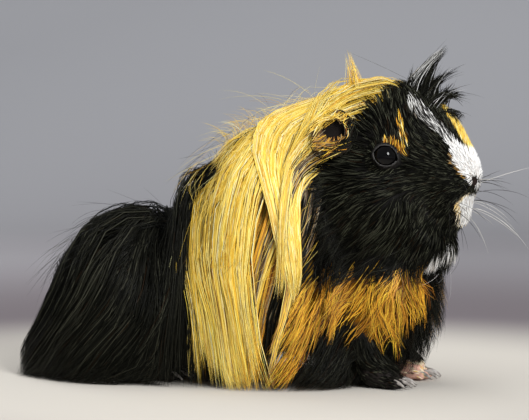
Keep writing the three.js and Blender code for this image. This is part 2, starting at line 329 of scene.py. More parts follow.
def slope_of(field, p, step=0.35):
    """The value of a field and its gradient."""
    corners = np.array([[1, -1, -1], [-1, -1, 1], [-1, 1, -1], [1, 1, 1]], F32)
    values = [field(p + c * step) for c in corners]
    grad = sum(v[:, None] * c for v, c in zip(values, corners)) / (4 * step)
    return sum(values) / 4, grad


# ---- meshing --------------------------------------------------------------------------------------------


def graded(stops):
    """Grid lines from (start, spacing) pairs, the last pair closing the range."""
    lines = []
    for (start, gap), (end, _) in zip(stops, stops[1:]):
        count = max(1, round((end - start) / gap))
        lines.extend(np.linspace(start, end, count, endpoint=False))
    return np.array(lines + [stops[-1][0]], F32)


def surface_net(field, xs, ys, zs):
    """Vertices and four-sided faces of a field's zero surface on a graded grid."""
    nx, ny, nz = len(xs), len(ys), len(zs)
    gx, gy, gz = np.meshgrid(xs, ys, zs, indexing="ij")
    nodes = np.stack([gx.ravel(), gy.ravel(), gz.ravel()], 1).astype(F32)
    values = np.concatenate([field(part) for part in np.array_split(nodes, 12)]).astype(F32)
    v = values.reshape(nx, ny, nz)
    pos = nodes.reshape(nx, ny, nz, 3)
    total = np.zeros((nx - 1, ny - 1, nz - 1, 3), F32)
    count = np.zeros((nx - 1, ny - 1, nz - 1), F32)

    def corner(a, i, j, k):
        return a[i : nx - 1 + i, j : ny - 1 + j, k : nz - 1 + k]

    for axis in range(3):
        for s in range(4):
            lo = [0, 0, 0]
            others = [a for a in range(3) if a != axis]
            lo[others[0]], lo[others[1]] = s & 1, s >> 1
            hi = list(lo)
            hi[axis] = 1
            a, b = corner(v, *lo), corner(v, *hi)
            crossed = (a < 0) != (b < 0)
            t = np.where(crossed, a / np.where(crossed, a - b, 1), 0)[..., None]
            total += np.where(crossed[..., None], corner(pos, *lo) * (1 - t) + corner(pos, *hi) * t, 0)
            count += crossed
    used = count > 0
    index = -np.ones(used.shape, np.int64)
    index[used] = np.arange(used.sum())
    points = (total[used] / count[used][:, None]).astype(F32)
    quads = []
    for axis in range(3):
        o1, o2 = [(1, 2), (2, 0), (0, 1)][axis]
        a = [slice(None)] * 3
        b = [slice(None)] * 3
        a[axis], b[axis] = slice(0, -1), slice(1, None)
        va, vb = v[tuple(a)], v[tuple(b)]
        crossed = np.argwhere((va < 0) != (vb < 0))
        crossed = crossed[(crossed[:, o1] > 0) & (crossed[:, o2] > 0)]
        crossed = crossed[(crossed[:, o1] < v.shape[o1] - 1) & (crossed[:, o2] < v.shape[o2] - 1)]
        inside = va[tuple(crossed.T)] < 0
        ring = []
        for d1, d2 in ((-1, -1), (0, -1), (0, 0), (-1, 0)):
            cell = crossed.copy()
            cell[:, o1] += d1
            cell[:, o2] += d2
            ring.append(index[tuple(cell.T)])
        ring = np.stack(ring, 1)
        ring[~inside] = ring[~inside][:, ::-1]
        quads.append(ring)
    return points, np.concatenate(quads)


def settled(field, points, rounds):
    """Moves points onto the zero surface of a field."""
    for _ in range(rounds):
        value, grad = slope_of(field, points)
        points = points - grad * (np.clip(value, -1, 1) / (np.sum(grad * grad, 1) + 1e-6))[:, None]
    return points


def mesh_of(name, points, faces, tones=None, maps=None, triangles=None, keep_frame=False):
    """A smooth-shaded mesh object from arrays in millimetres, with its colour attribute and bake map."""
    mesh = bpy.data.meshes.new(name)
    placed = (points + OFFSET) * MM if not keep_frame else points
    mesh.vertices.add(len(placed))
    mesh.vertices.foreach_set("co", placed.astype(F32).ravel())
    corners = faces.ravel()
    sizes = np.full(len(faces), faces.shape[1], np.int32)
    if triangles is not None:
        corners = np.concatenate([corners, triangles.ravel()])
        sizes = np.concatenate([sizes, np.full(len(triangles), 3, np.int32)])
    mesh.loops.add(len(corners))
    mesh.loops.foreach_set("vertex_index", corners.astype(np.int32))
    mesh.polygons.add(len(sizes))
    starts = np.concatenate([[0], np.cumsum(sizes)[:-1]]).astype(np.int32)
    mesh.polygons.foreach_set("loop_start", starts)
    mesh.polygons.foreach_set("loop_total", sizes)
    mesh.polygons.foreach_set("use_smooth", np.ones(len(sizes), bool))
    if maps is not None:
        layer = mesh.uv_layers.new(name="OFBake")
        layer.uv.foreach_set("vector", maps[corners].astype(F32).ravel())
    if tones is not None:
        shade = mesh.attributes.new("tone", "FLOAT_COLOR", "POINT")
        shade.data.foreach_set("color", tones.astype(F32).ravel())
    mesh.update(calc_edges=True)
    mesh.validate()
    made = bpy.data.objects.new(name, mesh)
    bpy.context.scene.collection.objects.link(made)
    return made


# ---- markings -------------------------------------------------------------------------------------------

BLACK, GOLD, WHITE, ORANGE, CREAM, GREY, BROWN = range(7)


def near_patch(p, at, half):
    """Distance from the middle of an ellipsoid, as a share of its half sizes."""
    return np.sqrt(sum(((p[:, i] - at[i]) / half[i]) ** 2 for i in range(3)))


def curve(value, stops):
    """A value read off a list of (at, value) pairs."""
    at, out = zip(*stops)
    return np.interp(value, at, out)


# Where the gold mantle ends, by height: (z, x). Towards the face the line is on the straight head above
# the neck.
MANTLE_FRONT = [
    (0, 33), (23, 35), (36, 37.4), (45, 39.7), (55, 41.1), (66, 40.6), (75, 40.5), (84, 41.5),
    (98.5, 45.4), (101.5, 50.1), (106, 54), (115, 58.2), (122, 62), (125.5, 65.4), (128.2, 68.5),
    (133.9, 75.3), (136.5, 80), (139, 96),
]
MANTLE_BACK = [
    (4, -2.5), (21, -5), (39, -9), (54, -15.6), (68, -14.2), (87, -12.1), (96.4, -10.1),
    (103.7, -1.1), (109, 7), (114, 13), (125, 16),
]
# The edges of the chest patch: (x, z).
CHEST_TOP = [(44, 44), (52, 47), (73, 48), (84, 49.5), (90, 53)]
CHEST_FOOT = [
    (34, 12), (42, 16), (49.8, 25), (55.4, 30.5), (62.4, 29), (66.8, 23), (78, 23.5), (82, 30),
    (86, 35.5), (90, 40),
]
# The blaze runs down the near side of the brow and covers the nose: (z, y) of its two edges.
BLAZE_NEAR = [
    (88.8, 0.3), (90, -4.3), (95, -9.6), (99.9, -11.3), (106, -10.4), (110, -11.7), (113, -13),
    (115.6, -13.8), (118.5, -14.4), (125, -14.4),
]
BLAZE_FAR = [
    (88.8, 1), (91, 6), (104, 6.5), (106, -3.5), (107.1, -5.1), (109.5, -6.6), (113.4, -7.9),
    (117.3, -9.2), (125, -9.4),
]
BROW_GOLD = [(104, 0.5), (106, -1.5), (107.7, -3.0), (113.8, -3), (118.6, -2.6), (123.3, 0.5), (126, 3)]
LIP_EDGE = [(73.5, 2), (75.5, 4.8), (81, 7.2), (85.2, 4.8), (86, 2)]
# Bands seen from the side: (x, z, half width).
FLAME = [(80.4, 118.4, 0.6), (81.6, 114.8, 1.0), (82.8, 111.0, 1.6), (83.6, 107.0, 2.1), (84.0, 103.8, 1.3)]
FLAME_BRANCH = [(75.0, 109.4, 0.8), (78.5, 108.0, 1.3), (82, 106.3, 1.9)]
JAW = [(104, 68, 0.6), (97.6, 62.2, 0.7), (92.3, 57, 0.9), (89.2, 52.5, 1.5)]


def strip(x, z, stops):
    """How far points lie outside a band of changing half width, seen from the side."""
    best = np.full(len(x), FAR)
    for (x0, z0, w0), (x1, z1, w1) in zip(stops, stops[1:]):
        dx, dz = x1 - x0, z1 - z0
        t = np.clip(((x - x0) * dx + (z - z0) * dz) / (dx**2 + dz**2), 0, 1)
        away = np.hypot(x - x0 - t * dx, z - z0 - t * dz)
        best = np.minimum(best, away - w0 - t * (w1 - w0))
    return best


def along_body(body_x, head_x, z):
    """A place along the body, which is read on the straight head above the neck."""
    return body_x + (head_x - body_x) * smooth(84, 98, z)


def markings(p, jitter=0.0):
    """Which colour grows at each point of the coat."""
    q = straight(p)
    x, y, z = q[:, 0] + jitter, q[:, 1] + 0.3 * jitter, q[:, 2] + 0.6 * jitter
    side = np.abs(y)
    kind = np.full(len(p), BLACK)
    body_x = p[:, 0] + jitter
    front = along_body(body_x, x, z)
    kind[(front < curve(z, MANTLE_FRONT)) & (body_x > curve(z, MANTLE_BACK))] = GOLD
    # the orange patch on each side of the chest
    chest = (x > 35) & (x < 91) & (z < curve(x, CHEST_TOP)) & (z > curve(x, CHEST_FOOT))
    kind[chest & ((y < -8) | (y > 17))] = ORANGE
    # a flame over the inner corner of each eye
    flame = np.minimum(strip(x, z, FLAME), strip(x, z, FLAME_BRANCH))
    kind[(flame < 0) & (side > 12)] = ORANGE
    # gold on the far brow
    kind[(y > curve(z, BROW_GOLD)) & (y < 13) & (x > 86) & (z > 103) & (z < 126)] = GOLD
    # the blaze: a grey streak down the brow that widens into white over the nose
    near, far = curve(z, BLAZE_NEAR), curve(z, BLAZE_FAR)
    blaze = (x > 83) & (z > 87.2) & (y < far)
    kind[blaze & (y > near) & (z >= 109)] = GREY
    kind[blaze & (y > near) & (z < 109)] = WHITE
    kind[blaze & (y > near - 1.0) & (y <= near) & (z < 103) & (z > 93)] = BROWN
    # lips and the stripe along the jaw
    lip = curve(z, LIP_EDGE)
    mouth = (x > 101) & (z < 86) & (z > 73)
    kind[mouth & (side < lip + 1.3)] = CREAM
    kind[mouth & (side < lip) & (x > 103.5)] = WHITE
    kind[strip(x, z, JAW) < 0] = WHITE
    return kind


# The main tone of each kind, in the order above.
TONES = np.array(
    [
        [0.0054, 0.0056, 0.0038],
        [0.92, 0.61, 0.075],
        [0.91, 0.905, 0.88],
        [0.74, 0.33, 0.022],
        [0.94, 0.82, 0.58],
        [0.46, 0.455, 0.43],
        [0.17, 0.10, 0.038],
    ],
    F32,
)
TONE_SPREAD = 0.14
# For each kind: (share of the strands, tone) of its lighter and darker hairs.
MIXES = {
    # the black's two greyer tones are painted glints of sheen on single hairs; the brown one is the hairs'
    # own
    BLACK: [(0.20, (0.019, 0.0190, 0.013)), (0.10, (0.054, 0.054, 0.037)), (0.03, (0.020, 0.010, 0.004))],
    # the gold's pale hairs are partly painted highlights, and its darker hairs partly painted shade between
    # the locks
    GOLD: [
        (0.28, (0.98, 0.77, 0.21)),
        (0.09, (0.98, 0.88, 0.46)),
        (0.13, (0.76, 0.42, 0.045)),
        (0.03, (0.16, 0.08, 0.02)),
    ],
    WHITE: [(0.03, (0.70, 0.66, 0.58))],
    ORANGE: [(0.36, (0.92, 0.54, 0.045)), (0.16, (0.36, 0.12, 0.012)), (0.07, (0.02, 0.014, 0.008))],
    CREAM: [(0.30, (0.86, 0.60, 0.22)), (0.10, (0.10, 0.07, 0.04))],
    BROWN: [(0.30, (0.52, 0.29, 0.065)), (0.25, (0.045, 0.03, 0.016)), (0.15, (0.34, 0.28, 0.17))],
    GREY: [(0.46, (0.010, 0.009, 0.008)), (0.24, (0.92, 0.915, 0.88))],
}


def strand_tones(kind, rng):
    """A colour for each strand, varied within its kind."""
    count = len(kind)
    tone = TONES[kind].copy()
    pick = rng.random(count)
    for number, mixes in MIXES.items():
        level = 0.0
        for share, colour in mixes:
            tone[(kind == number) & (pick >= level) & (pick < level + share)] = colour
            level += share
    return tone * (1 + TONE_SPREAD * (rng.random((count, 1)) - 0.5)).astype(F32)


# ---- the bake map: an unwrap of the skin's own shape ----------------------------------------------------

AXIS_START = np.array([-58.0, 0.0, 34.0], F32)
AXIS_END = np.array([86.0, 0.0, 92.0], F32)
GIRTH = 40.0
PATCH = 0.003  # of the map, for each hair
# The paws have places of their own on the map: from x, to x, side.
PAW_TOP = 15
PAW_INNER = 6
PAW_ZONES = [(50, 95, -1), (50, 95, 1), (-70, -20, -1), (-70, -20, 1)]


def unwrap(p):
    """Where each point of the skin lies on a flat map: around the body's long axis, and along it."""
    axis = AXIS_END - AXIS_START
    length = np.linalg.norm(axis)
    axis = axis / length
    up = np.array([-axis[2], 0, axis[0]], F32)
    d = p - AXIS_START
    along = d @ axis
    held = np.clip(along, 0, length)
    rest = d - held[:, None] * axis
    over = along - held
    around = np.sqrt(np.maximum(np.sum(rest * rest, 1) - over * over, 0)) + 1e-6
    bend = np.arctan2(over, around) * GIRTH
    v = (GIRTH * math.pi / 2 + held + bend) / (length + GIRTH * math.pi)
    u = 0.5 + np.arctan2(p[:, 1], rest @ up) / (2 * math.pi)
    u, v = 0.01 + 0.97 * u, 0.01 + 0.82 * v
    paw = p[:, 2] < PAW_TOP
    for k, (x0, x1, side) in enumerate(PAW_ZONES):
        here = paw & (p[:, 0] > x0) & (p[:, 0] < x1) & (p[:, 1] * side > PAW_INNER)
        if k > 1:
            here &= np.abs(p[:, 1]) < 38
        u[here] = 0.02 + k * 0.245 + 0.2 * (p[here, 0] - x0) / (x1 - x0)
        v[here] = 0.86 + 0.1 * (np.abs(p[here, 1]) - PAW_INNER) / 40 + 0.02 * p[here, 2] / PAW_TOP
    return np.stack([np.clip(u, 0.002, 0.994), np.clip(v, 0.002, 0.994)], 1)


# ---- strands --------------------------------------------------------------------------------------------

TIP_WIDTH = 0.07  # of a hair's middle, so that it ends blunt
LOCK_WIDTH = 7.5  # of a long lock at its hem
LAYERS = 3
HAIR_LIFT = 8  # how far above its root a long hair reaches the coat's surface
FALL_STEP, FALL_STEPS = 3.0, 46
RUFF_STEP, RUFF_STEPS = 1.6, 26


def directions(lines):
    """The unit direction at each point of each line."""
    along = np.zeros_like(lines)
    along[:, 1:-1] = lines[:, 2:] - lines[:, :-2]
    along[:, 0] = lines[:, 1] - lines[:, 0]
    along[:, -1] = lines[:, -1] - lines[:, -2]
    return unit(along)


def normals_at(lines, field):
    """The outward direction of a form at each point of each line."""
    _, grad = slope_of(field, lines.reshape(-1, 3))
    return unit(grad).reshape(lines.shape)


def tubes(name, lines, roots, tones, radius, normals, painted_shade, flat=1.5, high=0.6, soft=0.0):
    """One closed three-sided hair for each line of points (count, rings, 3), flattened along the coat."""
    count, rings, _ = lines.shape
    along = directions(lines)
    w = unit(normals - along * np.sum(normals * along, 2, keepdims=True))
    u = np.cross(w, along)
    s = np.linspace(0, 1, rings, dtype=F32)
    taper = np.minimum(1, 0.55 + 3.5 * s) * np.clip((1 - s) * 2.4, 0, 1) ** 0.75 + TIP_WIDTH
    spread = (radius[:, None] * taper[None, :])[..., None]
    turns = np.array([math.pi / 2, math.pi * 7 / 6, math.pi * 11 / 6])
    points = [lines + spread * (u * math.cos(t) * flat + w * math.sin(t) * high) for t in turns]
    points = np.stack(points, 2).reshape(-1, 3)
    base = np.arange(count)[:, None] * rings * 3
    i = np.arange(rings - 1)[None, :] * 3
    quads = []
    for k in range(3):
        n = (k + 1) % 3
        face = [base + i + k, base + i + n, base + i + 3 + n, base + i + 3 + k]
        quads.append(np.stack(face, 2).reshape(-1, 4))
    quads = np.concatenate(quads)
    first = np.arange(count) * rings * 3
    last = first + (rings - 1) * 3
    root_caps = np.stack([first + 2, first + 1, first], 1)
    tip_caps = np.stack([last, last + 1, last + 2], 1)
    caps = np.concatenate([root_caps, tip_caps])
    # painted shade: each hair is darker towards its root, where it lies deep in the coat, and a little
    # lighter at its tip
    shade = painted_shade[0] + (painted_shade[1] - painted_shade[0]) * smooth(0, 1, s)
    colour = tones[:, None, None, :] * shade[None, :, None, None]
    colour = np.broadcast_to(colour, (count, rings, 3, 3)).reshape(-1, 3)
    alpha = np.broadcast_to(s[None, :, None], (count, rings, 3)).reshape(-1, 1)
    flat_map = unwrap(roots)
    spot = np.stack(
        [
            np.broadcast_to(np.array([0, 0.5, 1.0])[None, None, :] * PATCH, (count, rings, 3)),
            np.broadcast_to(s[None, :, None] * PATCH, (count, rings, 3)),
        ],
        3,
    )
    maps = (flat_map[:, None, None, :] + spot).reshape(-1, 2)
    tint = np.concatenate([np.clip(colour, 0, 1), alpha], 1)
    made = mesh_of(name, points, quads, tint, maps, caps)
    if soft:
        # each hair is shaded partly as the coat it lies in
        out = np.stack([unit(u * math.cos(t) / flat + w * math.sin(t) / high) for t in turns], 2)
        out = unit(out * (1 - soft) + normals[:, :, None, :] * soft).reshape(-1, 3)
        made.data.normals_split_custom_set_from_vertices(out.astype(F32))
    return made


def thinned(points, cell, rng):
    """Indices of points kept so that about one stands in each cell of the given size."""
    keys = np.floor((points + rng.random(3) * cell) / cell).astype(np.int64)
    code = (keys[:, 0] * 73856093) ^ (keys[:, 1] * 19349663) ^ (keys[:, 2] * 83492791)
    _, first = np.unique(code, return_index=True)
    return np.sort(first)


def scattered(points, quads, count, rng, weight):
    """Random points over a mesh, spread by area times a weight."""
    tris = np.concatenate([quads[:, [0, 1, 2]], quads[:, [0, 2, 3]]])
    a, b, c = (points[tris[:, i]] for i in range(3))
    area = 0.5 * np.linalg.norm(np.cross(b - a, c - a), axis=1)
    area = area * weight((a + b + c) / 3)
    pick = np.searchsorted(np.cumsum(area) / area.sum(), rng.random(count))
    r1, r2 = np.sqrt(rng.random(count)), rng.random(count)
    return (
        a[pick] * (1 - r1)[:, None] + b[pick] * (r1 * (1 - r2))[:, None] + c[pick] * (r1 * r2)[:, None]
    ).astype(F32)


def resampled(path, length, rings, crowding):
    """Paths of fixed steps, each cut to its own length, with points that crowd at the root."""
    steps = np.linalg.norm(np.diff(path, axis=1), axis=2)
    run = np.concatenate([np.zeros((len(path), 1)), np.cumsum(steps, 1)], 1)
    share = np.linspace(0, 1, rings) ** crowding
    want = np.minimum(length[:, None], run[:, -1:]) * share
    out = np.zeros((len(path), rings, 3), F32)
    each = np.arange(len(path))
    for k in range(rings):
        at = np.sum(run <= want[:, k : k + 1], 1).clip(1, path.shape[1] - 1)
        lo, hi = run[each, at - 1], run[each, at]
        t = np.clip((want[:, k] - lo) / np.maximum(hi - lo, 1e-6), 0, 1)[:, None]
        out[:, k] = path[each, at - 1] * (1 - t) + path[each, at] * t
    return out


# The front edge of the mantle's lanes, by height: (z, x).
LANE_FRONT = [
    (5, 33.4), (23, 35), (36, 37.4), (45, 39.7), (55, 41.1), (66, 40.6), (83, 39.3), (105, 36),
    (115, 38), (128, 42),
]
# How the lanes behind the front lock are drawn together on their way down: (z, factor).
LANE_DRAW = [(0, 1.08), (14, 0.93), (26, 0.86), (45, 0.76), (66, 0.77), (78, 0.79), (94, 0.80), (106, 0.95)]
LOCK_SHARE = 0.84  # of the mantle's width: the lanes ahead of it form the front lock
UNDER_SHARE = 0.62


class Lanes:
    """For each long hair, the place along the body that it keeps to at any height."""

    def __init__(self, roots, rng):
        self.x, _, self.z = roots.T
        top = self.z + HAIR_LIFT
        back, front = curve(top, MANTLE_BACK), curve(top, LANE_FRONT)
        # 0 at the mantle's back edge and 1 at its front one
        self.share = np.clip((self.x - back) / (front - back), -9, 1.03)
        self.behind = np.minimum(self.x - back, 0) * 0.95
        self.foot = self.x - (0.06 + 0.56 * smooth(-18, -46, self.x)) * self.z
        self.mantle = smooth(-27, -16, self.x)
        # low hair behind the front lock stays under the parting
        self.under = (self.share > UNDER_SHARE) & (self.z < 96)
        strays = (np.abs(self.share - 0.04) < 0.12) & (rng.random(len(roots)) < 0.4)
        self.stray = np.where(strays, rng.uniform(1, 7, len(roots)), 0)
        self.pull = 0.0
        hem = self.at(0.0)
        self.layer = rng.integers(0, LAYERS, len(roots))
        self.lock = np.round(hem / LOCK_WIDTH + self.layer / LAYERS).astype(int)
        self.pull = (self.lock - self.layer / LAYERS) * LOCK_WIDTH - hem

    def at(self, height):
        front = curve(height, LANE_FRONT)
        back = curve(height, MANTLE_BACK)
        share = np.maximum(self.share, 0)
        drawn = share * curve(height, LANE_DRAW)
        lock = 0.89 + (share - LOCK_SHARE) * 0.25
        gathered = share + (lock - share) * smooth(104, 78, height)
        parted = np.where(share < LOCK_SHARE, drawn, gathered)
        parted = np.minimum(parted, 0.90 + 0.25 * smooth(96, 112, height))
        share = np.where(self.under, share - 0.2 * smooth(85, 25, height), parted)
        held = np.maximum(height, np.minimum(62, self.z + HAIR_LIFT))
        behind = curve(held, MANTLE_BACK) + self.behind
        on_mantle = np.where(self.share < 0, behind, back + share * (front - back))
        rump = self.foot + (self.x - self.foot) * np.clip(height / (self.z + 12), 0, 1)
        place = rump + (on_mantle - rump) * self.mantle + self.pull * 0.5 * smooth(80, 5, height)
        return place - self.stray * smooth(60, 0, height)


def body_flow(p, n, place, ruff):
    """The way the coat falls at each point: long hair along its lane, the ruff back and down."""
    x, y, z = p.T
    top = np.clip(n[:, 2], 0, 1)
    low = smooth(44, 10, z) * smooth(-14, -42, x)
    crest = top**2 * smooth(-16, -30, x)
    along = np.clip((place - x) / 9, -2.2, 2.2) * (1.0 + 0.3 * top) - 2.3 * low
    along = along * (1 - crest) - 1.1 * crest
    spread = 0.22 + 0.85 * top * (1 - 0.75 * smooth(-24, -44, x))
    outward = spread * np.sign(y + 0.01) * np.maximum(np.abs(y), 2.5) / (np.abs(y) + 5)
    long = np.stack([along, outward, -np.ones_like(x)], 1)
    front = smooth(62, 78, x) * smooth(50, 36, z) + smooth(72, 86, x) * smooth(36, 50, z)
    neck = smooth(52, 72, z)
    back = -(0.66 + 0.45 * neck) * (1 - front) + 0.4 * front
    short = np.stack([back, 0.30 * y / (np.abs(y) + 8), -0.92 + 0.25 * neck], 1)
    if np.any(ruff > 0):
        q = straight(p)
        jaw = smooth(4, 1, strip(q[:, 0], q[:, 2], JAW))[:, None] * smooth(70, 78, q[:, 0])[:, None]
        swept = [np.full_like(x, -0.75), 0.05 * y / (np.abs(y) + 4), np.full_like(x, -0.7)]
        short = short + (np.stack(swept, 1) - short) * jaw
    return long + (short - long) * ruff[:, None]


def fall(roots, levels, rise, wander, lanes, steps, step):
    """Lets guide hairs run from their roots under the coat's outer form, down to the floor."""
    p = roots.copy()
    path = [p]
    depth0, _ = slope_of(envelope, p)
    ruff = np.full(len(p), 0.0 if lanes else 1.0, F32)
    for k in range(steps):
        depth, grad = slope_of(envelope, p)
        n = unit(grad)
        place = lanes.at(p[:, 2] - 9) if lanes else p[:, 0]
        way = unit(body_flow(p, n, place, ruff) + wander * (0.35 + 0.65 * math.sin(k * 0.28)))
        way = unit(way - n * np.sum(way * n, 1, keepdims=True))
        share = smooth(0, 1, (k + 1) * step / rise)
        # at the back of the rump it lies deeper, and its hem stands out
        deeper = smooth(26, 50, p[:, 2]) * 3.5 * smooth(-64, -84, p[:, 0])
        deeper = deeper - smooth(30, 14, p[:, 2]) * 6 * smooth(-80, -98, p[:, 0])
        want = depth0 + (levels - depth0) * share - deeper
        way = unit(way + n * np.clip((want - depth) / step * 0.5, -0.6, 1.0 if k < 5 else 0.75)[:, None])
        down = smooth(5, 0.8, p[:, 2])[:, None] * (way[:, 2:3] < 0)
        level = np.concatenate([way[:, :2], np.zeros((len(p), 1))], 1)
        way = unit(way * (1 - down) + level * down)
        p = p + way * step
        p[:, 2] = np.maximum(p[:, 2], 0.5)
        path.append(p)
    return np.stack(path, 1)


def turned_way(way):
    """Directions from the straight head on the turned one."""
    return turned(way + PIVOT) - PIVOT


def face_flow(p):
    """The way the short fur lies: back from the nose, round the eyes, and down over the cheeks."""
    q = straight(p)
    x, y, z = q.T
    side = np.sign(y)
    away = unit(q - np.array([117.0, 0.0, 90.0], F32))
    cheek = smooth(100, 72, z)
    rise = smooth(104, 122, z) * smooth(100, 84, x)
    way = away + np.stack([-0.10 * cheek, 0.10 * side, 0.30 * rise - 0.80 * cheek], 1)
    brow = smooth(101, 108, z) * smooth(92, 83, x) * smooth(66, 74, x) * smooth(8, 14, np.abs(y))
    way[:, 2] += 1.3 * brow
    way[:, 0] += 0.35 * brow
    from_eye = q - np.stack([np.full_like(x, EYE[0]), side * EYE[1], np.full_like(x, EYE[2])], 1)
    near = smooth(15, 6, np.linalg.norm(from_eye, axis=1))[:, None]
    way = unit(way + unit(from_eye) * near * 0.6)
    # the fur parts around a whisker root on the cheek
    from_part = q - np.stack([np.full_like(x, 79.0), side * 25.0, np.full_like(x, 85.0)], 1)
    near = smooth(17, 5, np.linalg.norm(from_part, axis=1))[:, None] * smooth(87, 83, z)[:, None]
    way = unit(way + unit(from_part) * near * 0.8)
    return turned_way(way)


def clear_of_ears(lines, reach):
    """Which hairs stay out of the hollows of the ears."""
    way = folded(straight(lines.reshape(-1, 3))).reshape(lines.shape)
    near = np.linalg.norm((way - EAR_HOLLOW)[..., [0, 2]], axis=2) < np.reshape(reach, (-1, 1))
    return ~np.any(near & (way[..., 1] > 16), axis=1)


def limb_flow(p):
    """Down the arm, and forward over the paw."""
    drop = smooth(8, 20, p[:, 2])
    return np.stack([1.0 - 0.75 * drop, np.zeros(len(p)), -0.25 - 0.75 * drop], 1)


def ear_cover(p):
    """The head with its ear cups filled up to their rims."""
    q = in_ear_axes(folded(straight(p)))
    cup = carve(mass(q, *EAR_CUP) - EAR_THICKNESS, -(q[:, 2] - 3.2), 0.9)
    return blend(body_form(p), cup, 3.5)


def ear_flow(p):
    """Back and down over the ear, and round its hollow."""
    q = straight(p)
    side = np.sign(q[:, 1:2])
    from_hollow = (folded(q) - EAR_HOLLOW) * np.array([1, 0, 1], F32)
    near = smooth(7, 3, np.linalg.norm(from_hollow, axis=1))[:, None]
    low = smooth(114, 106, q[:, 2])[:, None]
    way = np.array([-0.70, 0.10, -0.75], F32) + low * np.array([-0.3, 0, 0.45], F32)
    way = way + unit(from_hollow) * near * 1.3
    way = np.concatenate([way[:, :1], way[:, 1:2] * side, way[:, 2:]], 1)
    return turned_way(way)


def lie(field, flow, roots, lengths, lift, wander, rings):
    """Short fur: it leaves the skin, lies back along it and lifts off a little at its tip."""
    p = roots.copy()
    path = [p]
    step = lengths / (rings - 1)
    for k in range(rings - 1):
        value, grad = slope_of(field, p)
        n = unit(grad)
        way = unit(unit(flow(p)) + wander)
        way = unit(way - n * np.sum(way * n, 1, keepdims=True))
        share = (k + 1) / (rings - 1)
        want = lift * share
        way = unit(way + n * np.clip((want - value) / np.maximum(step, 0.3) * 0.6, -0.4, 0.9)[:, None])
        p = p + way * step[:, None]
        p[:, 2] = np.maximum(p[:, 2], 0.4)
        path.append(p)
    return np.stack(path, 1)


def grown_lock(guides, per_lock, spread, tip_share, frizz, rng, thickness=1.0):
    """Strands around each guide, drawn together towards the lock's tip, and the guide of each."""
    count, rings, _ = guides.shape
    along = directions(guides)
    n = normals_at(guides, envelope)
    n = unit(n - along * np.sum(n * along, 2, keepdims=True))
    b = np.cross(n, along)
    s = np.linspace(0, 1, rings, dtype=F32)
    owner = np.repeat(np.arange(count), per_lock)
    total = len(owner)
    angle = rng.random(total) * 2 * math.pi
    reach = np.sqrt(rng.random(total)) * spread[owner]
    ob, ot = reach * np.cos(angle), reach * np.sin(angle)
    gather = 1 - (1 - tip_share[owner])[:, None] * smooth(0.05, 0.85, s)[None, :]
    thick = (rng.random(total) - 0.5) * thickness
    turns = s[None, :] * (0.9 + 1.6 * rng.random((total, 1))) + rng.random((total, 1))
    wave = frizz * (0.2 + s[None, :]) * np.sin(turns * 2 * math.pi)
    wave -= wave[:, :1]
    aside = ob[:, None] * gather + wave * rng.uniform(0.3, 1.0, (total, 1))
    off = thick[:, None] * s[None, :] + wave * 0.4 * rng.uniform(-1, 1, (total, 1))
    ahead = ot[:, None] * gather * (1 - s[None, :]) + ot[:, None] * s[None, :] * 1.3
    lines = guides[owner] + b[owner] * aside[..., None]
    lines = lines + n[owner] * off[..., None]
    lines = lines + along[owner] * ahead[..., None]
    lines[..., 2] = np.maximum(lines[..., 2], 0.3)
    return lines.astype(F32), owner


# ---- materials ------------------------------------------------------------------------------------------


def grey(value):
    return (value,) * 3


def new_material(name):
    made = bpy.data.materials.new(name)
    made.use_nodes = True
    tree = made.node_tree
    tree.nodes.clear()
    out = tree.nodes.new("ShaderNodeOutputMaterial")
    shader = tree.nodes.new("ShaderNodeBsdfPrincipled")
    tree.links.new(shader.outputs["BSDF"], out.inputs["Surface"])
    return made, tree, shader


def noise_at(tree, scale, detail, stretch=(1, 1, 1), source="Object"):
    place = tree.nodes.new("ShaderNodeTexCoord")
    fit = tree.nodes.new("ShaderNodeMapping")
    fit.inputs["Scale"].default_value = stretch
    grain = tree.nodes.new("ShaderNodeTexNoise")
    grain.inputs["Scale"].default_value = scale
    grain.inputs["Detail"].default_value = detail
    tree.links.new(place.outputs[source], fit.inputs["Vector"])
    tree.links.new(fit.outputs["Vector"], grain.inputs["Vector"])
    return grain.outputs["Fac"]


def ramp(tree, fac, stops):
    made = tree.nodes.new("ShaderNodeValToRGB")
    parts = made.color_ramp.elements
    while len(parts) < len(stops):
        parts.new(0.5)
    for part, (at, colour) in zip(parts, stops):
        part.position = at
        part.color = (*colour, 1)
    tree.links.new(fac, made.inputs["Fac"])
    return made.outputs["Color"]


def mixed(tree, kind, fac, a, b):
    made = tree.nodes.new("ShaderNodeMix")
    made.data_type = "RGBA"
    made.blend_type = kind
    made.inputs["Factor"].default_value = fac
    tree.links.new(a, made.inputs["A"])
    tree.links.new(b, made.inputs["B"])
    return made.outputs["Result"]


def own_tone(tree):
    node = tree.nodes.new("ShaderNodeAttribute")
    node.attribute_name = "tone"
    return node.outputs["Color"]


def surfaced(tree, shader, colour, roughness, specular=0.5):
    tree.links.new(colour, shader.inputs["Base Color"])
    shader.inputs["Roughness"].default_value = roughness
    shader.inputs["Specular IOR Level"].default_value = specular


def bumped(tree, shader, height, strength, distance):
    made = tree.nodes.new("ShaderNodeBump")
    made.inputs["Strength"].default_value = strength
    made.inputs["Distance"].default_value = distance
    tree.links.new(height, made.inputs["Height"])
    tree.links.new(made.outputs["Normal"], shader.inputs["Normal"])


def hair_material(name, roughness, specular):
    """Hair: each strand's own tone, with fine streaks along it and broad soft variation over the coat."""
    made, tree, shader = new_material(name)
    tone = own_tone(tree)
    streaks = noise_at(tree, 1.0, 2, (1500, 260, 1), "UV")
    fine = ramp(tree, streaks, [(0.30, grey(0.78)), (0.5, grey(1.0)), (0.72, grey(1.18))])
    colour = mixed(tree, "MULTIPLY", 0.6, tone, fine)
    broad = ramp(tree, noise_at(tree, 70, 2), [(0.3, grey(0.90)), (0.7, grey(1.07))])
    colour = mixed(tree, "MULTIPLY", 0.8, colour, broad)
    surfaced(tree, shader, colour, roughness, specular)
    return made


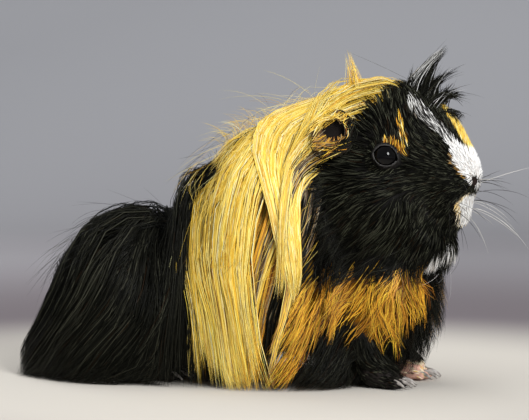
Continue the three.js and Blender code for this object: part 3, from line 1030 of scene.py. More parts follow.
def skin_material():
    """Mottled, finely grained skin in the tones of its own attribute."""
    made, tree, shader = new_material("skin under the coat")
    tone = own_tone(tree)
    mottle = ramp(tree, noise_at(tree, 260, 4), [(0.3, grey(0.7)), (0.7, grey(1.1))])
    surfaced(tree, shader, mixed(tree, "MULTIPLY", 0.9, tone, mottle), 0.62, 0.05)
    bumped(tree, shader, noise_at(tree, 1500, 3), 0.5, 0.0004)
    return made


def eye_material():
    """Wet, almost black."""
    made, tree, shader = new_material("dark eye")
    depths = [(0.3, (0.0004, 0.0004, 0.0005)), (0.7, (0.0012, 0.0010, 0.0010))]
    colour = ramp(tree, noise_at(tree, 300, 2), depths)
    surfaced(tree, shader, colour, 0.04, 0.34)
    shader.inputs["IOR"].default_value = 1.36
    return made


def claw_material():
    """Worn horn."""
    made, tree, shader = new_material("grey horn")
    greys = [(0.3, (0.13, 0.115, 0.105)), (0.7, (0.40, 0.37, 0.34))]
    colour = ramp(tree, noise_at(tree, 500, 3), greys)
    surfaced(tree, shader, colour, 0.32)
    bumped(tree, shader, noise_at(tree, 2200, 2), 0.3, 0.0002)
    return made


# ---- pieces ---------------------------------------------------------------------------------------------

FLESH_NODES = (
    "head", "neck", "trunk", "hindquarters", "foreleg_right", "foreleg_left", "hindleg_right",
    "hindleg_left", "ear_right", "ear_left",
)
SKIN = {}  # its points and faces, kept for the hair that grows on it

# Tones of the bare skin.
BLACK_SKIN = (0.0075, 0.0070, 0.0066)
WHITE_SKIN = (0.80, 0.72, 0.66)
DARK_PAW = (0.016, 0.013, 0.012)
PALE_PAW = (0.62, 0.36, 0.28)
EAR_SKIN = (0.10, 0.055, 0.025)
EAR_FRONT = (0.02, 0.014, 0.010)
# painted shade in the ears' hollows
EAR_HOLLOW_SHADE = (0.007, 0.005, 0.004)
NOSE_SKIN = (0.022, 0.015, 0.013)
LID_DARK = np.array([0.013, 0.012, 0.011])
# painted highlight along the lids' rims
LID_RIM_HIGHLIGHT = np.array([0.075, 0.072, 0.068])


def finished(made, material):
    """Gives a piece its material and the body that it rides on."""
    made.data.materials.append(material)
    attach(made, "root")
    return made


def legs_form(p):
    """The legs of both sides."""
    return np.minimum(*(limb_form(p, limb, toes) for limb, toes in LIMBS.values()))


def skin_tones(points):
    """The skin's colours: the coat's, darkened, with paws, ears, lids and nose, painted shade in the ears'
    hollows and a painted highlight on the lids' rims.
    """
    kind = markings(points)
    tone = TONES[kind] * np.array([0.55, 0.48, 0.40], F32)
    tone[kind == ORANGE] *= 0.4
    tone[kind == BLACK] = BLACK_SKIN
    tone[kind == WHITE] = WHITE_SKIN
    q = folded(straight(points))
    paw = (legs_form(points) < 0.6) & (points[:, 2] < 12)
    tone[paw] = DARK_PAW
    tone[paw & (points[:, 0] > 50) & (points[:, 1] > 6)] = PALE_PAW
    ear = ear_form(q) < 0.6
    tone[ear] = EAR_SKIN
    tone[ear & (q[:, 0] > 55)] = EAR_FRONT
    # painted shade: the skin in each ear's hollow is almost black
    hollow = near_patch(q, EAR_HOLLOW, (6, 12, 6)) < 1
    tone[ear & hollow] = EAR_HOLLOW_SHADE
    slit = eye_slit(q)
    lid = (np.linalg.norm(q - EYE, axis=1) < EYE_RADIUS + 1.4) & (slit < 1.9)
    # painted highlight: the lid turns pale grey along the edge of its opening
    pale = smooth(1.05, 0.15, slit[lid])[:, None]
    tone[lid] = LID_DARK * (1 - pale) + LID_RIM_HIGHLIGHT * pale
    nose = near_patch(q, (110.4, 3.0, 91.6), (2.8, 3.6, 2.5)) < 1
    tone[nose] = NOSE_SKIN
    return np.concatenate([tone, np.ones((len(points), 1), F32)], 1)


class GUINEAPIG_OT_skin(bpy.types.Operator):
    """One skin over head, neck, trunk, legs and ears"""

    bl_idname = "guineapig.skin"
    bl_label = "Skin"

    def execute(self, context):
        fine = context.scene.guinea_pig_form.skin_cell / MM
        xs = graded([(-104, 2.6), (-62, 1.6), (-20, 2.6), (34, 1.6), (40, fine), (116, 1)])
        ys = graded([(-50, 2.4), (-39, fine), (39, 2.4), (50, 1)])
        zs = graded([(-2, fine), (13, 2.6), (58, 1.6), (68, fine), (128, 1.6), (142, 1)])
        points, quads = surface_net(skin_form, xs, ys, zs)
        points = settled(skin_form, points, 2)
        points[:, 2] = np.maximum(points[:, 2], 0.0)
        skin = mesh_of("skin", points, quads, skin_tones(points))
        finished(skin, skin_material())
        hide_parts(*FLESH_NODES)
        SKIN["points"], SKIN["quads"] = points, quads
        return {"FINISHED"}


def ball(name, centre, out, radius):
    """An eyeball with a slightly raised clear front."""
    rows, columns = 28, 40
    lat = np.linspace(0, math.pi, rows + 1)[1:-1]
    lon = np.arange(columns) / columns * 2 * math.pi
    axis = unit(np.array(out, F32))
    u = unit(np.cross(axis, (0, 0, 1)))
    w = np.cross(axis, u)
    points = [centre + axis * radius * 1.05]
    for a in lat:
        r = radius * (1 + 0.05 * math.exp(-((a / 0.55) ** 2)))
        for o in lon:
            aside = u * math.cos(o) + w * math.sin(o)
            points.append(centre + r * (axis * math.cos(a) + math.sin(a) * aside))
    points.append(centre - axis * radius)
    quads, tris = [], []
    last = 1 + (rows - 2) * columns
    for j in range(columns):
        n = (j + 1) % columns
        tris.append((0, 1 + n, 1 + j))
        tris.append((len(points) - 1, last + j, last + n))
        for i in range(rows - 2):
            near = 1 + i * columns
            far = near + columns
            quads.append((near + j, near + n, far + n, far + j))
    return mesh_of(name, np.array(points, F32), np.array(quads), triangles=np.array(tris))


class GUINEAPIG_OT_eyes(bpy.types.Operator):
    """Two dark glossy eyeballs set in their lids"""

    bl_idname = "guineapig.eyes"
    bl_label = "Eyes"

    def execute(self, context):
        material = eye_material()
        for word, side in (("right", -1), ("left", 1)):
            mirror = np.array([1, side, 1], F32)
            centre = turned(EYE[None, :] * mirror)[0]
            out = turned_way(np.array([EYE_OUT], F32) * mirror)[0]
            made = ball(f"eyeball_{word}", centre, out, EYE_RADIUS)
            finished(made, material)
            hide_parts(f"eye_{word}")
        return {"FINISHED"}


CLAW = {"length": 6.6, "root": 1.15, "tip": 0.28, "curl": 50}
CLAW_RINGS, CLAW_SIDES = 9, 12


def claw_points(start, way, length, root, tip, curl):
    """Rings of a claw that curls down."""
    across = np.array([-way[1], way[0], 0])
    centre = start.copy()
    points = []
    for i in range(CLAW_RINGS + 1):
        share = i / CLAW_RINGS
        pitch = math.radians(curl) * share
        r = root + (tip - root) * share**0.8
        along = way * math.cos(pitch) + np.array([0, 0, -math.sin(pitch)])
        up = np.cross(along, across)
        for j in range(CLAW_SIDES):
            turn = 2 * math.pi * j / CLAW_SIDES
            flat = 0.72 if math.sin(turn) > 0.5 else 1.0
            aside = across * r * math.cos(turn) * 0.85
            points.append(centre + aside + up * r * 1.3 * math.sin(turn) * -flat)
        centre = centre + along * length / CLAW_RINGS
    return np.array(points, F32)


def claw_faces(base):
    """Faces around a claw whose points start at a given number, and the fans that close its ends."""
    quads, tris = [], []
    for r in range(CLAW_RINGS):
        near = base + r * CLAW_SIDES
        far = near + CLAW_SIDES
        for j in range(CLAW_SIDES):
            n = (j + 1) % CLAW_SIDES
            quads.append((near + j, near + n, far + n, far + j))
    top = base + CLAW_RINGS * CLAW_SIDES
    for j in range(1, CLAW_SIDES - 1):
        tris.append((base, base + j + 1, base + j))
        tris.append((top, top + j, top + j + 1))
    return quads, tris


class GUINEAPIG_OT_claws(bpy.types.Operator):
    """Curved grey claws on every toe"""

    bl_idname = "guineapig.claws"
    bl_label = "Claws"

    def execute(self, context):
        material = claw_material()
        for limb_name, (limb, toes) in LIMBS.items():
            for word, side in (("right", -1), ("left", 1)):
                mirror = np.array([1, side, 1])
                points, quads, tris, nodes = [], [], [], []
                for i, (_, tip, way) in enumerate(toes_of(limb, toes)):
                    root = (tip + np.array([0, 0, toes["radius"] * 0.45]) - way * 0.6) * mirror
                    made = claw_points(root, way * mirror, **CLAW)
                    made[:, 2] = np.maximum(made[:, 2], 0.12)
                    around, ends = claw_faces(len(points) * len(made))
                    quads += around
                    tris += ends
                    points.append(made)
                    nodes.append(f"{limb_name}claw_{word}_{i + 1}")
                name = f"{limb_name}claws_{word}"
                points = np.concatenate(points)
                whole = mesh_of(name, points, np.array(quads), triangles=np.array(tris))
                finished(whole, material)
                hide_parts(*nodes)
        return {"FINISHED"}


# Where the short fur of the face begins, on the straight head: (z, x).
FACE_EDGE = [
    (30, 140), (52, 128), (58, 104), (66, 82), (78, 58), (95, 50), (113, 53), (121.7, 60),
    (127.7, 68), (132, 76), (135, 84), (138, 92),
]
CANDIDATES = 70000  # places tried for the roots of a part of the coat
PIECE_LIMIT = 185000  # triangles in one piece
# painted shade: a hair is darker towards its root, deep in the coat, and a little lighter at its tip
COAT_PAINTED_SHADE = (0.80, 1.06)  # of a hair's tone at its root and at its tip
COAT_SOFT = 0.72  # how far gold hair is shaded as the coat it lies in
BLACK_SOFT = 0.3


def on_arm(p):
    """The parts of the legs that stand clear of the body."""
    fore = (p[:, 0] > 52) & (p[:, 2] < 15) & (np.abs(p[:, 1]) > 6)
    return fore | (p[:, 2] < 7)


def rooted_in_coat(p):
    """The skin behind the face and above the paws."""
    q = straight(p)
    return (q[:, 0] < curve(q[:, 2], FACE_EDGE)) & ~on_arm(p)


def planted(cell, rng, chosen):
    """Roots spread over the chosen part of the skin, about one to a cell."""

    def weight(c):
        return np.where(chosen(c), 1.0, 0.0)

    roots = scattered(SKIN["points"], SKIN["quads"], CANDIDATES, rng, weight)
    return roots[thinned(roots, cell, rng)]


def in_pieces(name, material, kind, lines, roots, tone, radius, order, soft=0.5, field=envelope):
    """Makes the gold and black pieces of one part of the coat, each kept under a set number of triangles."""
    faces = 6 * (lines.shape[1] - 1) + 2
    normals = normals_at(lines, field)
    for word, chosen, shared in (("gold", kind != BLACK, soft), ("black", kind == BLACK, BLACK_SOFT)):
        picked = np.nonzero(chosen)[0]
        if not len(picked):
            continue
        groups = math.ceil(len(picked) * faces / PIECE_LIMIT)
        picked = picked[np.argsort(order[picked], kind="stable")]
        for k, part in enumerate(np.array_split(picked, groups)):
            label = f"{name}_{word}_{k + 1}"
            hairs = (array[part] for array in (lines, roots, tone, radius, normals))
            made = tubes(label, *hairs, COAT_PAINTED_SHADE, soft=shared)
            finished(made, material[word])


def coat_materials():
    """Hair of the long coat and the ruff."""
    return {
        "gold": hair_material("gold hair", 0.42, 0.26),
        "black": hair_material("black hair", 0.38, 0.10),
    }


def settled_on(points, level, rounds=4, field=envelope):
    """Moves points to a level of the coat's outer form, or of another."""
    for _ in range(rounds):
        value, grad = slope_of(field, points)
        points = points + unit(grad) * (level - value)[:, None] * 0.9
    return points


# The front lock sweeps back from the crest and down over the shoulder to a point: its two edges
# (x, y, z), and the thin end that hangs on from it.
LOCK_REAR = [
    (46.8, -12, 125.5), (37.7, -12, 124.8), (29.1, -13, 123.4), (21.6, -14, 121.6), (16.5, -17, 119),
    (14, -22, 116.5), (14, -28, 112), (15.6, -35, 105), (20, -40, 97), (24.3, -44, 88),
    (28.6, -47, 76.4), (31.6, -48.6, 65.6), (34, -48.8, 55.6), (36, -48.3, 47), (38.4, -47, 41),
]
LOCK_FORE = [
    (50.5, -20, 121), (48.4, -24.5, 117), (45.5, -28, 110), (42.4, -30.5, 105), (39.7, -33.8, 98),
    (37.6, -37.1, 91.8), (37.6, -40.4, 83.6), (39.3, -43, 72.8), (40.6, -44.5, 61.9),
    (41.2, -45, 51), (40.4, -45.7, 45), (38.8, -46.8, 40),
]
LOCK_END = [
    (37, -46, 58), (38, -47, 44), (35.4, -48.4, 30.7), (32, -49.6, 20), (29.5, -50.5, 10), (28, -51, 3),
]
LOCK_COLUMNS, LOCK_DEPTH = 12, 3  # guide hairs across the front lock, and one over another
LOCK_TAILS = 4


def lock_levels(roots, lanes, rng):
    """How far over the coat's outer form each long hair lies, and how soon it rises there."""
    count = len(roots)
    x, y, z = roots.T
    depth, _ = slope_of(envelope, roots)
    high = smooth(18, 92, z - 0.25 * x + 8)
    layer = rng.uniform(-0.7, 0.7, LAYERS)[lanes.layer] + np.sin(lanes.lock * 2.4 + lanes.layer) * 0.5
    levels = -7.0 * (1 - high) - 2.4 * rng.random(count) ** 1.5 + 0.2 + layer - 3.5 * lanes.under
    spine = smooth(22, 8, np.abs(y)) * smooth(50, 66, z)
    levels = levels - 2.0 * spine * rng.random(count)
    nape = np.where(lanes.share > 0, 1, 0.75 * smooth(-16, -4, x))
    levels = levels - 6 * smooth(94, 104, z) * smooth(29, 11, x) * nape
    levels = levels - 3 * smooth(-50, -68, x) * smooth(36, 56, z)
    band = (lanes.share <= 0) & (x > -36) & (z > 66) & (z < 103)
    raised = smooth(112, 120, z) * smooth(42, 54, x)
    levels = levels + 2.5 * band * rng.random(count) + 2.2 * raised
    levels = np.clip(levels, depth - 1, 1.0 + 1.5 * band + 2.0 * raised)
    notch = smooth(-24, -34, x) * smooth(-62, -46, x) * smooth(30, 14, np.abs(y)) * smooth(52, 62, z)
    rise = rng.uniform(12, 24, count) * (1 - 0.5 * spine) * (1 - 0.6 * notch)
    return levels, rise


def lock_wander(roots, lanes, rng):
    """A slow sway that neighbouring hairs share, and a little of each one's own."""
    x, _, z = roots.T
    along = np.sin(0.11 * x + 0.09 * z + 1.7 * lanes.layer)
    sway = np.stack([along, np.cos(0.08 * x - 0.1 * z), np.zeros(len(x))], 1)
    return (sway * 0.07 + rng.normal(0, 0.03, (len(x), 3))).astype(F32)


def lock_kinds(roots, lanes, rng):
    """The colour of each long lock, which lie hidden by the front lock, and which top the back."""
    count = len(roots)
    x, _, z = roots.T
    kind = np.where(lanes.share > 0, GOLD, BLACK)
    kind[(x < -12) & (z < 90)] = BLACK
    # behind the front lock the coat parts over darker hair, brown and orange also as painted shade along the
    # parting
    dark = lanes.under & (rng.random(count) < 0.8)
    pick = rng.random(dark.sum())
    kind[dark] = np.where(pick < 0.6, BROWN, np.where(pick < 0.9, ORANGE, BLACK))
    hidden = lanes.under & (lanes.share > 0.93) & (z > 40)
    kind[hidden] = BLACK
    low_ear = (lanes.share > 1.0) & (z < 107) & (rng.random(count) < 0.4)
    kind[low_ear] = np.where(rng.random(low_ear.sum()) < 0.4, BLACK, BROWN)
    crown = (lanes.share <= 0) & (x > -2) & (z > 107)
    kind[crown] = GOLD
    return kind, hidden, crown


def lock_lengths(paths, lanes, x, hidden, crown, rng):
    """How long each long hair is. Most reach the floor."""
    count = len(paths)
    height = paths[:, :, 2]
    lengths = 126 * rng.uniform(0.85, 1.05, count)
    landed = np.argmax(height < 2.2, axis=1)
    at_mantle = rng.uniform(-15, 3, count) - 7 * smooth(0.45, 0.05, lanes.share)
    over = at_mantle * smooth(-20, -8, x) + rng.uniform(0, 14, count) * smooth(-8, -20, x)
    lengths = np.minimum(lengths, np.where(landed > 0, landed * FALL_STEP + over, FAR))
    # the hair of the front lock ends where the lock comes to its point
    fore = (lanes.share > LOCK_SHARE) & (~lanes.under | (hidden & (rng.random(count) < 0.5)))
    low = np.argmax(height < rng.uniform(44, 78, count)[:, None], axis=1)
    lengths = np.where(fore & (low > 0), np.minimum(lengths, low * FALL_STEP), lengths)
    lengths = np.where(crown, np.minimum(lengths, rng.uniform(14, 32, count)), lengths)
    # some end short of the floor, so the locks overlap in layers
    return lengths * np.where(rng.random(count) < 0.25, rng.uniform(0.72, 0.96, count), 1.0)


def hair_kinds(kind, owner, lanes, z, rng):
    """The colour of each long hair: its lock's own, or now and then a darker one."""
    own = kind[owner]
    share, height = lanes.share[owner], z[owner]
    # near the mantle's back edge single hairs of the two colours mix
    mixes = rng.random(len(owner)) < 0.25 * smooth(0.12, 0.02, share)
    own[mixes & (share > 0) & (height > 60)] = BLACK
    warm = 0.03 + 0.10 * smooth(90, 30, height) + 0.16 * smooth(0.35, 0.8, share) * smooth(110, 90, height)
    warm = warm + 0.25 * smooth(0.25, 0.6, share) * smooth(70, 40, height)
    warm = warm * (0.3 + 1.6 * rng.random(len(kind)) ** 2)[owner]
    own[(own == GOLD) & (rng.random(len(own)) < warm)] = ORANGE
    return own


def along_stops(stops, t):
    """Points at given shares of the way along a line of stops."""
    stops = np.array(stops)
    run = np.concatenate([[0], np.cumsum(np.linalg.norm(np.diff(stops, axis=0), axis=1))])
    return np.stack([np.interp(t * run[-1], run, stops[:, k]) for k in range(3)], 1)


class GUINEAPIG_OT_coat(bpy.types.Operator):
    """The long coat in locks that fall to the floor"""

    bl_idname = "guineapig.coat"
    bl_label = "Long coat"

    def execute(self, context):
        settings = context.scene.guinea_pig_coat
        rng = np.random.default_rng(7)
        cell = settings.lock_spacing / MM

        def long_coat(c):
            q = straight(c)
            x = along_body(c[:, 0], q[:, 0], q[:, 2])
            return rooted_in_coat(c) & (x < curve(q[:, 2], MANTLE_FRONT) + 1)

        def ridge(c):
            width = np.where(c[:, 0] > -42, 34, 14)
            return long_coat(c) & (c[:, 0] < -12) & (c[:, 2] > 48) & (np.abs(c[:, 1]) < width)

        roots = planted(cell, rng, long_coat)
        roots = roots[rng.random(len(roots)) < 0.35 + 0.65 * smooth(20, 75, roots[:, 2])]
        roots = np.concatenate([roots, planted(cell * 0.85, rng, ridge)])
        count = len(roots)
        lanes = Lanes(roots, rng)
        levels, rise = lock_levels(roots, lanes, rng)
        wander = lock_wander(roots, lanes, rng)
        paths = fall(roots, levels, rise, wander, lanes, FALL_STEPS, FALL_STEP)
        kind, hidden, crown = lock_kinds(roots, lanes, rng)
        lengths = lock_lengths(paths, lanes, roots[:, 0], hidden, crown, rng)
        guides = resampled(paths, lengths, settings.rings, 1.25)
        black = kind == BLACK
        tip_share = np.where(black, rng.uniform(0.40, 0.90, count), rng.uniform(0.15, 0.60, count))
        per_lock = np.where(black, settings.strands_per_lock - 5, settings.strands_per_lock + 1)
        lines, owner = grown_lock(guides, per_lock, np.full(count, cell * 0.8), tip_share, 0.45, rng)
        clear = clear_of_ears(lines, 4.6)
        lines, owner = lines[clear], owner[clear]
        own = hair_kinds(kind, owner, lanes, roots[:, 2], rng)
        lock_tone = 1 + 0.11 * np.sin(lanes.lock * 5.1 + lanes.layer * 2.2)
        lock_tone = lock_tone + rng.uniform(-0.09, 0.07, count)
        tone = strand_tones(own, rng) * lock_tone[owner][:, None]
        fine = np.where(own == BLACK, 0.95, 0.70)
        radius = rng.uniform(0.75, 1.2, len(lines)) * settings.strand_radius / MM * fine
        order = roots[owner, 0]
        in_pieces("coat", coat_materials(), own, lines, lines[:, 0], tone, radius, order, COAT_SOFT)
        self.front_locks(settings, rng)
        return {"FINISHED"}

    def front_locks(self, settings, rng):
        rings = settings.rings + 3
        guides, tails = [], []
        for side in (1, -1):
            mirror = np.array([1, side, 1], F32)
            for share in np.repeat(np.linspace(0, 1, LOCK_COLUMNS), LOCK_DEPTH):
                t = np.linspace(rng.uniform(0, 0.22), rng.uniform(0.80, 1.0), rings)
                line = along_stops(LOCK_REAR, t) * (1 - share) + along_stops(LOCK_FORE, t) * share
                level = 0.2 + 1.2 * math.sin(math.pi * min(1, share * 1.3)) - rng.uniform(0, 0.8)
                guides.append(settled_on(line.astype(F32) * mirror, np.full(rings, level)))
            for _ in range(LOCK_TAILS):
                line = along_stops(LOCK_END, np.linspace(0, rng.uniform(0.75, 1.0), rings))
                line = line + rng.normal(0, 0.8, 3)
                tails.append(settled_on(line.astype(F32) * mirror, np.full(rings, 0.4)))
        lines, tones, radii = [], [], []
        # guides, hairs of each, their spread, and the shares below which a hair is brown or orange
        parts = ((guides, 21, 2.4, (0.0, 0.05)), (tails, 12, 1.6, (0.55, 0.75)))
        for group, per_lock, spread, (brown, orange) in parts:
            group = np.stack(group)
            group[..., 2] = np.maximum(group[..., 2], 0.6)
            tip_share = rng.uniform(0.3, 0.6, len(group))
            made, _ = grown_lock(group, per_lock, np.full(len(group), spread), tip_share, 0.5, rng)
            pick = rng.random(len(made))
            kind = np.where(pick < brown, BROWN, np.where(pick < orange, ORANGE, GOLD))
            lines.append(made)
            tones.append(strand_tones(kind, rng))
            radii.append(rng.uniform(0.7, 1.2, len(made)) * settings.strand_radius / MM * 0.68)
        lines, tones, radii = (np.concatenate(part) for part in (lines, tones, radii))
        normals = normals_at(lines, envelope)
        made = tubes("front_locks", lines, lines[:, 0], tones, radii, normals, (0.82, 1.06), soft=COAT_SOFT)
        finished(made, hair_material("front lock hair", 0.42, 0.26))


class GUINEAPIG_OT_ruff(bpy.types.Operator):
    """The middling fur of neck, throat and chest"""

    bl_idname = "guineapig.ruff"
    bl_label = "Ruff"

    def execute(self, context):
        settings = context.scene.guinea_pig_coat
        rng = np.random.default_rng(17)

        def ruff(c):
            q = straight(c)
            x = along_body(c[:, 0], q[:, 0], q[:, 2])
            return rooted_in_coat(c) & (x > curve(q[:, 2], MANTLE_FRONT) - 3) & (q[:, 2] < 112)

        roots = planted(settings.ruff_spacing / MM, rng, ruff)
        count = len(roots)
        depth, _ = slope_of(envelope, roots)
        levels = -3.2 * rng.random(count) + 0.6
        levels = np.maximum(levels, depth - 1)
        lengths = np.maximum(rng.uniform(13, 22, count), -depth * 1.9)
        wander = rng.normal(0, 0.24, (count, 3)).astype(F32)
        wander[:, 0] += 0.30 * np.sin(roots[:, 0] * 0.33 + roots[:, 1] * 0.2 + 2)
        paths = fall(roots, levels, lengths * 0.85, wander, None, RUFF_STEPS, RUFF_STEP)
        pale = markings(paths[:, 2]) == WHITE
        lengths = lengths * np.where(pale, 0.34, 1.0)
        # along the belly it reaches the floor
        belly = (roots[:, 2] < 36) & (roots[:, 0] < 64)
        lengths = np.where(belly, np.maximum(lengths, 1.3 * roots[:, 2] + 3), lengths)
        landed = np.argmax(paths[:, :, 2] < 1.5, axis=1)
        reach = landed * RUFF_STEP + rng.uniform(0, 2, count)
        lengths = np.minimum(lengths, np.where(landed > 0, reach, FAR))
        # none reaches over the front lock
        behind = (paths[..., 0] < curve(paths[..., 2], LANE_FRONT) + 3.5) & (paths[..., 2] > 52)
        met = np.where(behind.any(axis=1), np.argmax(behind, axis=1), FAR)
        lengths = np.clip(lengths, 1.5, np.maximum(met * RUFF_STEP, RUFF_STEP))
        guides = resampled(paths, lengths, 5, 1.1)
        tip_share = rng.uniform(0.30, 0.85, count)
        spread = np.full(count, settings.ruff_spacing / MM * 0.85)
        lines, owner = grown_lock(guides, settings.strands_per_tuft, spread, tip_share, 0.9, rng, 2.4)
        kind = markings(guides[:, 2], rng.normal(0, 0.8, count))[owner]
        loose = markings(lines[:, 2], rng.normal(0, 1.2, len(lines)))
        kind = np.where(rng.random(len(lines)) < 0.5, loose, kind)
        kind[(kind == WHITE) & ~pale[owner]] = BLACK
        pick = rng.random(len(lines))
        kind[(kind == GOLD) & (pick < 0.95)] = BLACK
        kind[(kind == GOLD) & (pick < 0.97)] = ORANGE
        tone = strand_tones(kind, rng) * rng.uniform(0.70, 1.15, (count, 1))[owner]
        middle = lines[:, 2]
        patchy = 1 + 0.22 * np.sin(middle[:, 0] * 0.24 + 2.2) * np.cos(middle[:, 2] * 0.27)
        tone = tone * patchy[:, None]
        radius = rng.uniform(0.6, 1.15, len(lines)) * settings.strand_radius / MM * 0.58
        order = guides[owner, 0, 0]
        in_pieces("ruff", coat_materials(), kind, lines, lines[:, 0], tone, radius, order, COAT_SOFT)
        return {"FINISHED"}


class GUINEAPIG_OT_fur(bpy.types.Operator):
    """Short fur on the face, the legs and the ears"""

    bl_idname = "guineapig.fur"
    bl_label = "Short fur"

    def execute(self, context):
        settings = context.scene.guinea_pig_coat
        rng = np.random.default_rng(11)
        material = {
            "gold": hair_material("pale face fur", 0.45, 0.30),
            "black": hair_material("black face fur", 0.42, 0.06),
        }
        self.face(settings, rng, material)
        self.legs(settings, rng, material)
        self.ears(settings, rng, material)
        return {"FINISHED"}

    def face(self, settings, rng, material):
        def weight(c):
            q = straight(c)
            f = folded(q)
            edge = curve(q[:, 2], FACE_EDGE) - 5 - 17 * smooth(110, 118, q[:, 2])
            on_face = (q[:, 0] > edge) & (q[:, 2] > 50)
            bare = (eye_slit(f) < 1.15) | (ear_form(f) < 0.8)
            bare |= near_patch(f, (110.6, 2.6, 91.6), (2.0, 2.5, 1.8)) < 1
            return np.where(on_face & ~bare, 1 + 2.0 * smooth(86, 103, q[:, 0]), 0.0)

        roots = scattered(SKIN["points"], SKIN["quads"], settings.fur_strands, rng, weight)
        q = straight(roots)
        x, y, z = q.T
        cheek = smooth(98, 66, z) * smooth(102, 78, x)
        back = smooth(96, 60, x)
        crown = smooth(116, 124, z) * smooth(86, 72, x)
        lengths = 2.6 + 3.4 * smooth(107, 92, x) + 3.5 * back + 6.5 * cheek + 4.0 * crown
        near_eye = np.linalg.norm(folded(q) - EYE, axis=1)
        lengths = lengths * (0.42 + 0.58 * smooth(6, 14, near_eye)) * rng.uniform(0.75, 1.2, len(roots))
        depth, _ = slope_of(envelope, roots)
        gap = np.clip(-depth, 0.3, 12)
        gap = gap * (0.3 + 0.7 * smooth(6, 10, near_eye))
        lengths = np.maximum(lengths, 1.7 * gap)
        lift = np.clip(gap * rng.uniform(0.55, 1.08, len(roots)), 0.4, 0.6 * lengths)
        wander = rng.normal(0, 0.09, (len(roots), 3)).astype(F32)
        clump = np.sin(x * 1.5 + 2 * np.sin(z * 0.7)) * np.cos(z * 1.3 + y * 0.8)
        wander[:, 2] += 0.16 * clump
        lines = lie(body_form, face_flow, roots, lengths, lift, wander, 4)
        clear = clear_of_ears(lines, 4.2)
        lines, roots, lengths, cheek, x, z = (part[clear] for part in (lines, roots, lengths, cheek, x, z))
        kind = markings(lines[:, 1], rng.normal(0, 0.5, len(roots)))
        flame = (kind == ORANGE) & (z > 95)
        pick = rng.random(len(roots))
        kind[flame & (pick < 0.60)] = GOLD
        kind[flame & (pick < 0.30)] = BROWN
        kind[flame & (pick < 0.14)] = BLACK
        tone = strand_tones(kind, rng)
        # painted highlights: pale grey-olive hairs among the black stand in for glints of sheen on the face
        # fur
        light = (kind == BLACK) & (rng.random(len(roots)) < 0.18 + 0.14 * cheek)
        tone[light] = np.array([0.078, 0.082, 0.054]) * rng.uniform(0.3, 1.5, (light.sum(), 1))
        width = np.where(light, 0.10, np.where(lengths < 5, 0.125, 0.165))
        radius = rng.uniform(0.8, 1.25, len(lines)) * width
        in_pieces("face_fur", material, kind, lines, roots, tone, radius, x)

    def legs(self, settings, rng, material):
        def weight(c):
            arm = on_arm(c) | ((c[:, 0] > 50) & (c[:, 2] < 24) & (np.abs(c[:, 1]) > 6))
            low = (c[:, 2] > 2.2) & arm & ~((c[:, 2] < 7) & (c[:, 0] < 52) & (c[:, 0] > -36))
            return np.where(low & ((legs_form(c) < 0.7) | (c[:, 0] > 50)), 1.0, 0.0)

        roots = scattered(SKIN["points"], SKIN["quads"], settings.leg_strands, rng, weight)
        high = smooth(8, 16, roots[:, 2])
        lengths = (3.0 + 6.5 * high) * rng.uniform(0.7, 1.2, len(roots))
        # the toes' tips stay almost bare
        ahead = np.where(roots[:, 0] > 0, roots[:, 0] - 76, roots[:, 0] + 30)
        lengths = lengths * (1 - 0.55 * smooth(-2, 4, ahead))
        lift = 0.3 + 0.16 * lengths
        wander = rng.normal(0, 0.12, (len(roots), 3)).astype(F32)
        lines = lie(skin_form, limb_flow, roots, lengths, lift, wander, 4)
        pale = (roots[:, 1] > 0) & (roots[:, 0] > 0) & (roots[:, 2] < 11)
        kind = np.where(pale, CREAM, BLACK)
        keep = ~pale | (rng.random(len(roots)) < 0.5)
        lines, roots, kind = lines[keep], roots[keep], kind[keep]
        tone = strand_tones(kind, rng)
        radius = rng.uniform(0.8, 1.2, len(lines)) * 0.19
        in_pieces("leg_fur", material, kind, lines, roots, tone, radius, roots[:, 0], field=skin_form)

    def ears(self, settings, rng, material):
        spots = rng.uniform(-1, 1, (settings.ear_strands * 6, 3))
        spots = EAR_CENTRE + spots[np.linalg.norm(spots, axis=1) < 1] * np.array([14, 10, 15])
        spots[:, 1] *= np.where(rng.random(len(spots)) < 0.5, 1, -1)
        roots = settled_on(turned(spots.astype(F32)), -0.4, 6, ear_cover)
        f = folded(straight(roots))
        across = np.linalg.norm((f - EAR_HOLLOW)[:, [0, 2]], axis=1)
        near = np.linalg.norm((f - EAR_CENTRE) / np.array([14, 14, 15], F32), axis=1) < 1
        keep = near & (f[:, 1] > 16) & (across > 3.2) & (f[:, 2] > 104)
        roots = roots[keep][: settings.ear_strands]
        lengths = rng.uniform(5.0, 11.0, len(roots))
        lift = rng.uniform(0.2, 1.8, len(roots))
        wander = rng.normal(0, 0.22, (len(roots), 3)).astype(F32)
        lines = lie(ear_cover, ear_flow, roots, lengths, lift, wander, 6)
        # none crosses the hollow, and none reaches over the front lock
        tips = straight(lines[:, -1])
        clear = clear_of_ears(lines, rng.uniform(1.8, 4.6, len(lines)))
        clear &= (tips[:, 0] > 47) | (tips[:, 2] > 112)
        lines, roots = lines[clear], roots[clear]
        q = straight(lines[:, 2])
        ahead, above = q[:, 0] - EAR_HOLLOW[0], q[:, 2] - EAR_HOLLOW[2]
        pick = rng.random(len(q))
        black = smooth(1.5, 4.5, ahead - 0.35 * np.maximum(above, 0) + rng.normal(0, 1, len(q)))
        black = np.maximum(black, smooth(-6, -12, above))
        brown = np.maximum(smooth(-2, 3, ahead - 0.5 * np.maximum(above, 0)), smooth(1, -4, above))
        kind = np.where(pick < black, BLACK, np.where(pick < 0.08 + 0.85 * brown, BROWN, GOLD))
        kind[(kind == BROWN) & (rng.random(len(q)) < 0.35)] = ORANGE
        tone = strand_tones(kind, rng)
        radius = rng.uniform(0.8, 1.2, len(lines)) * 0.13
        in_pieces("ear_fur", material, kind, lines, roots, tone, radius, roots[:, 1])


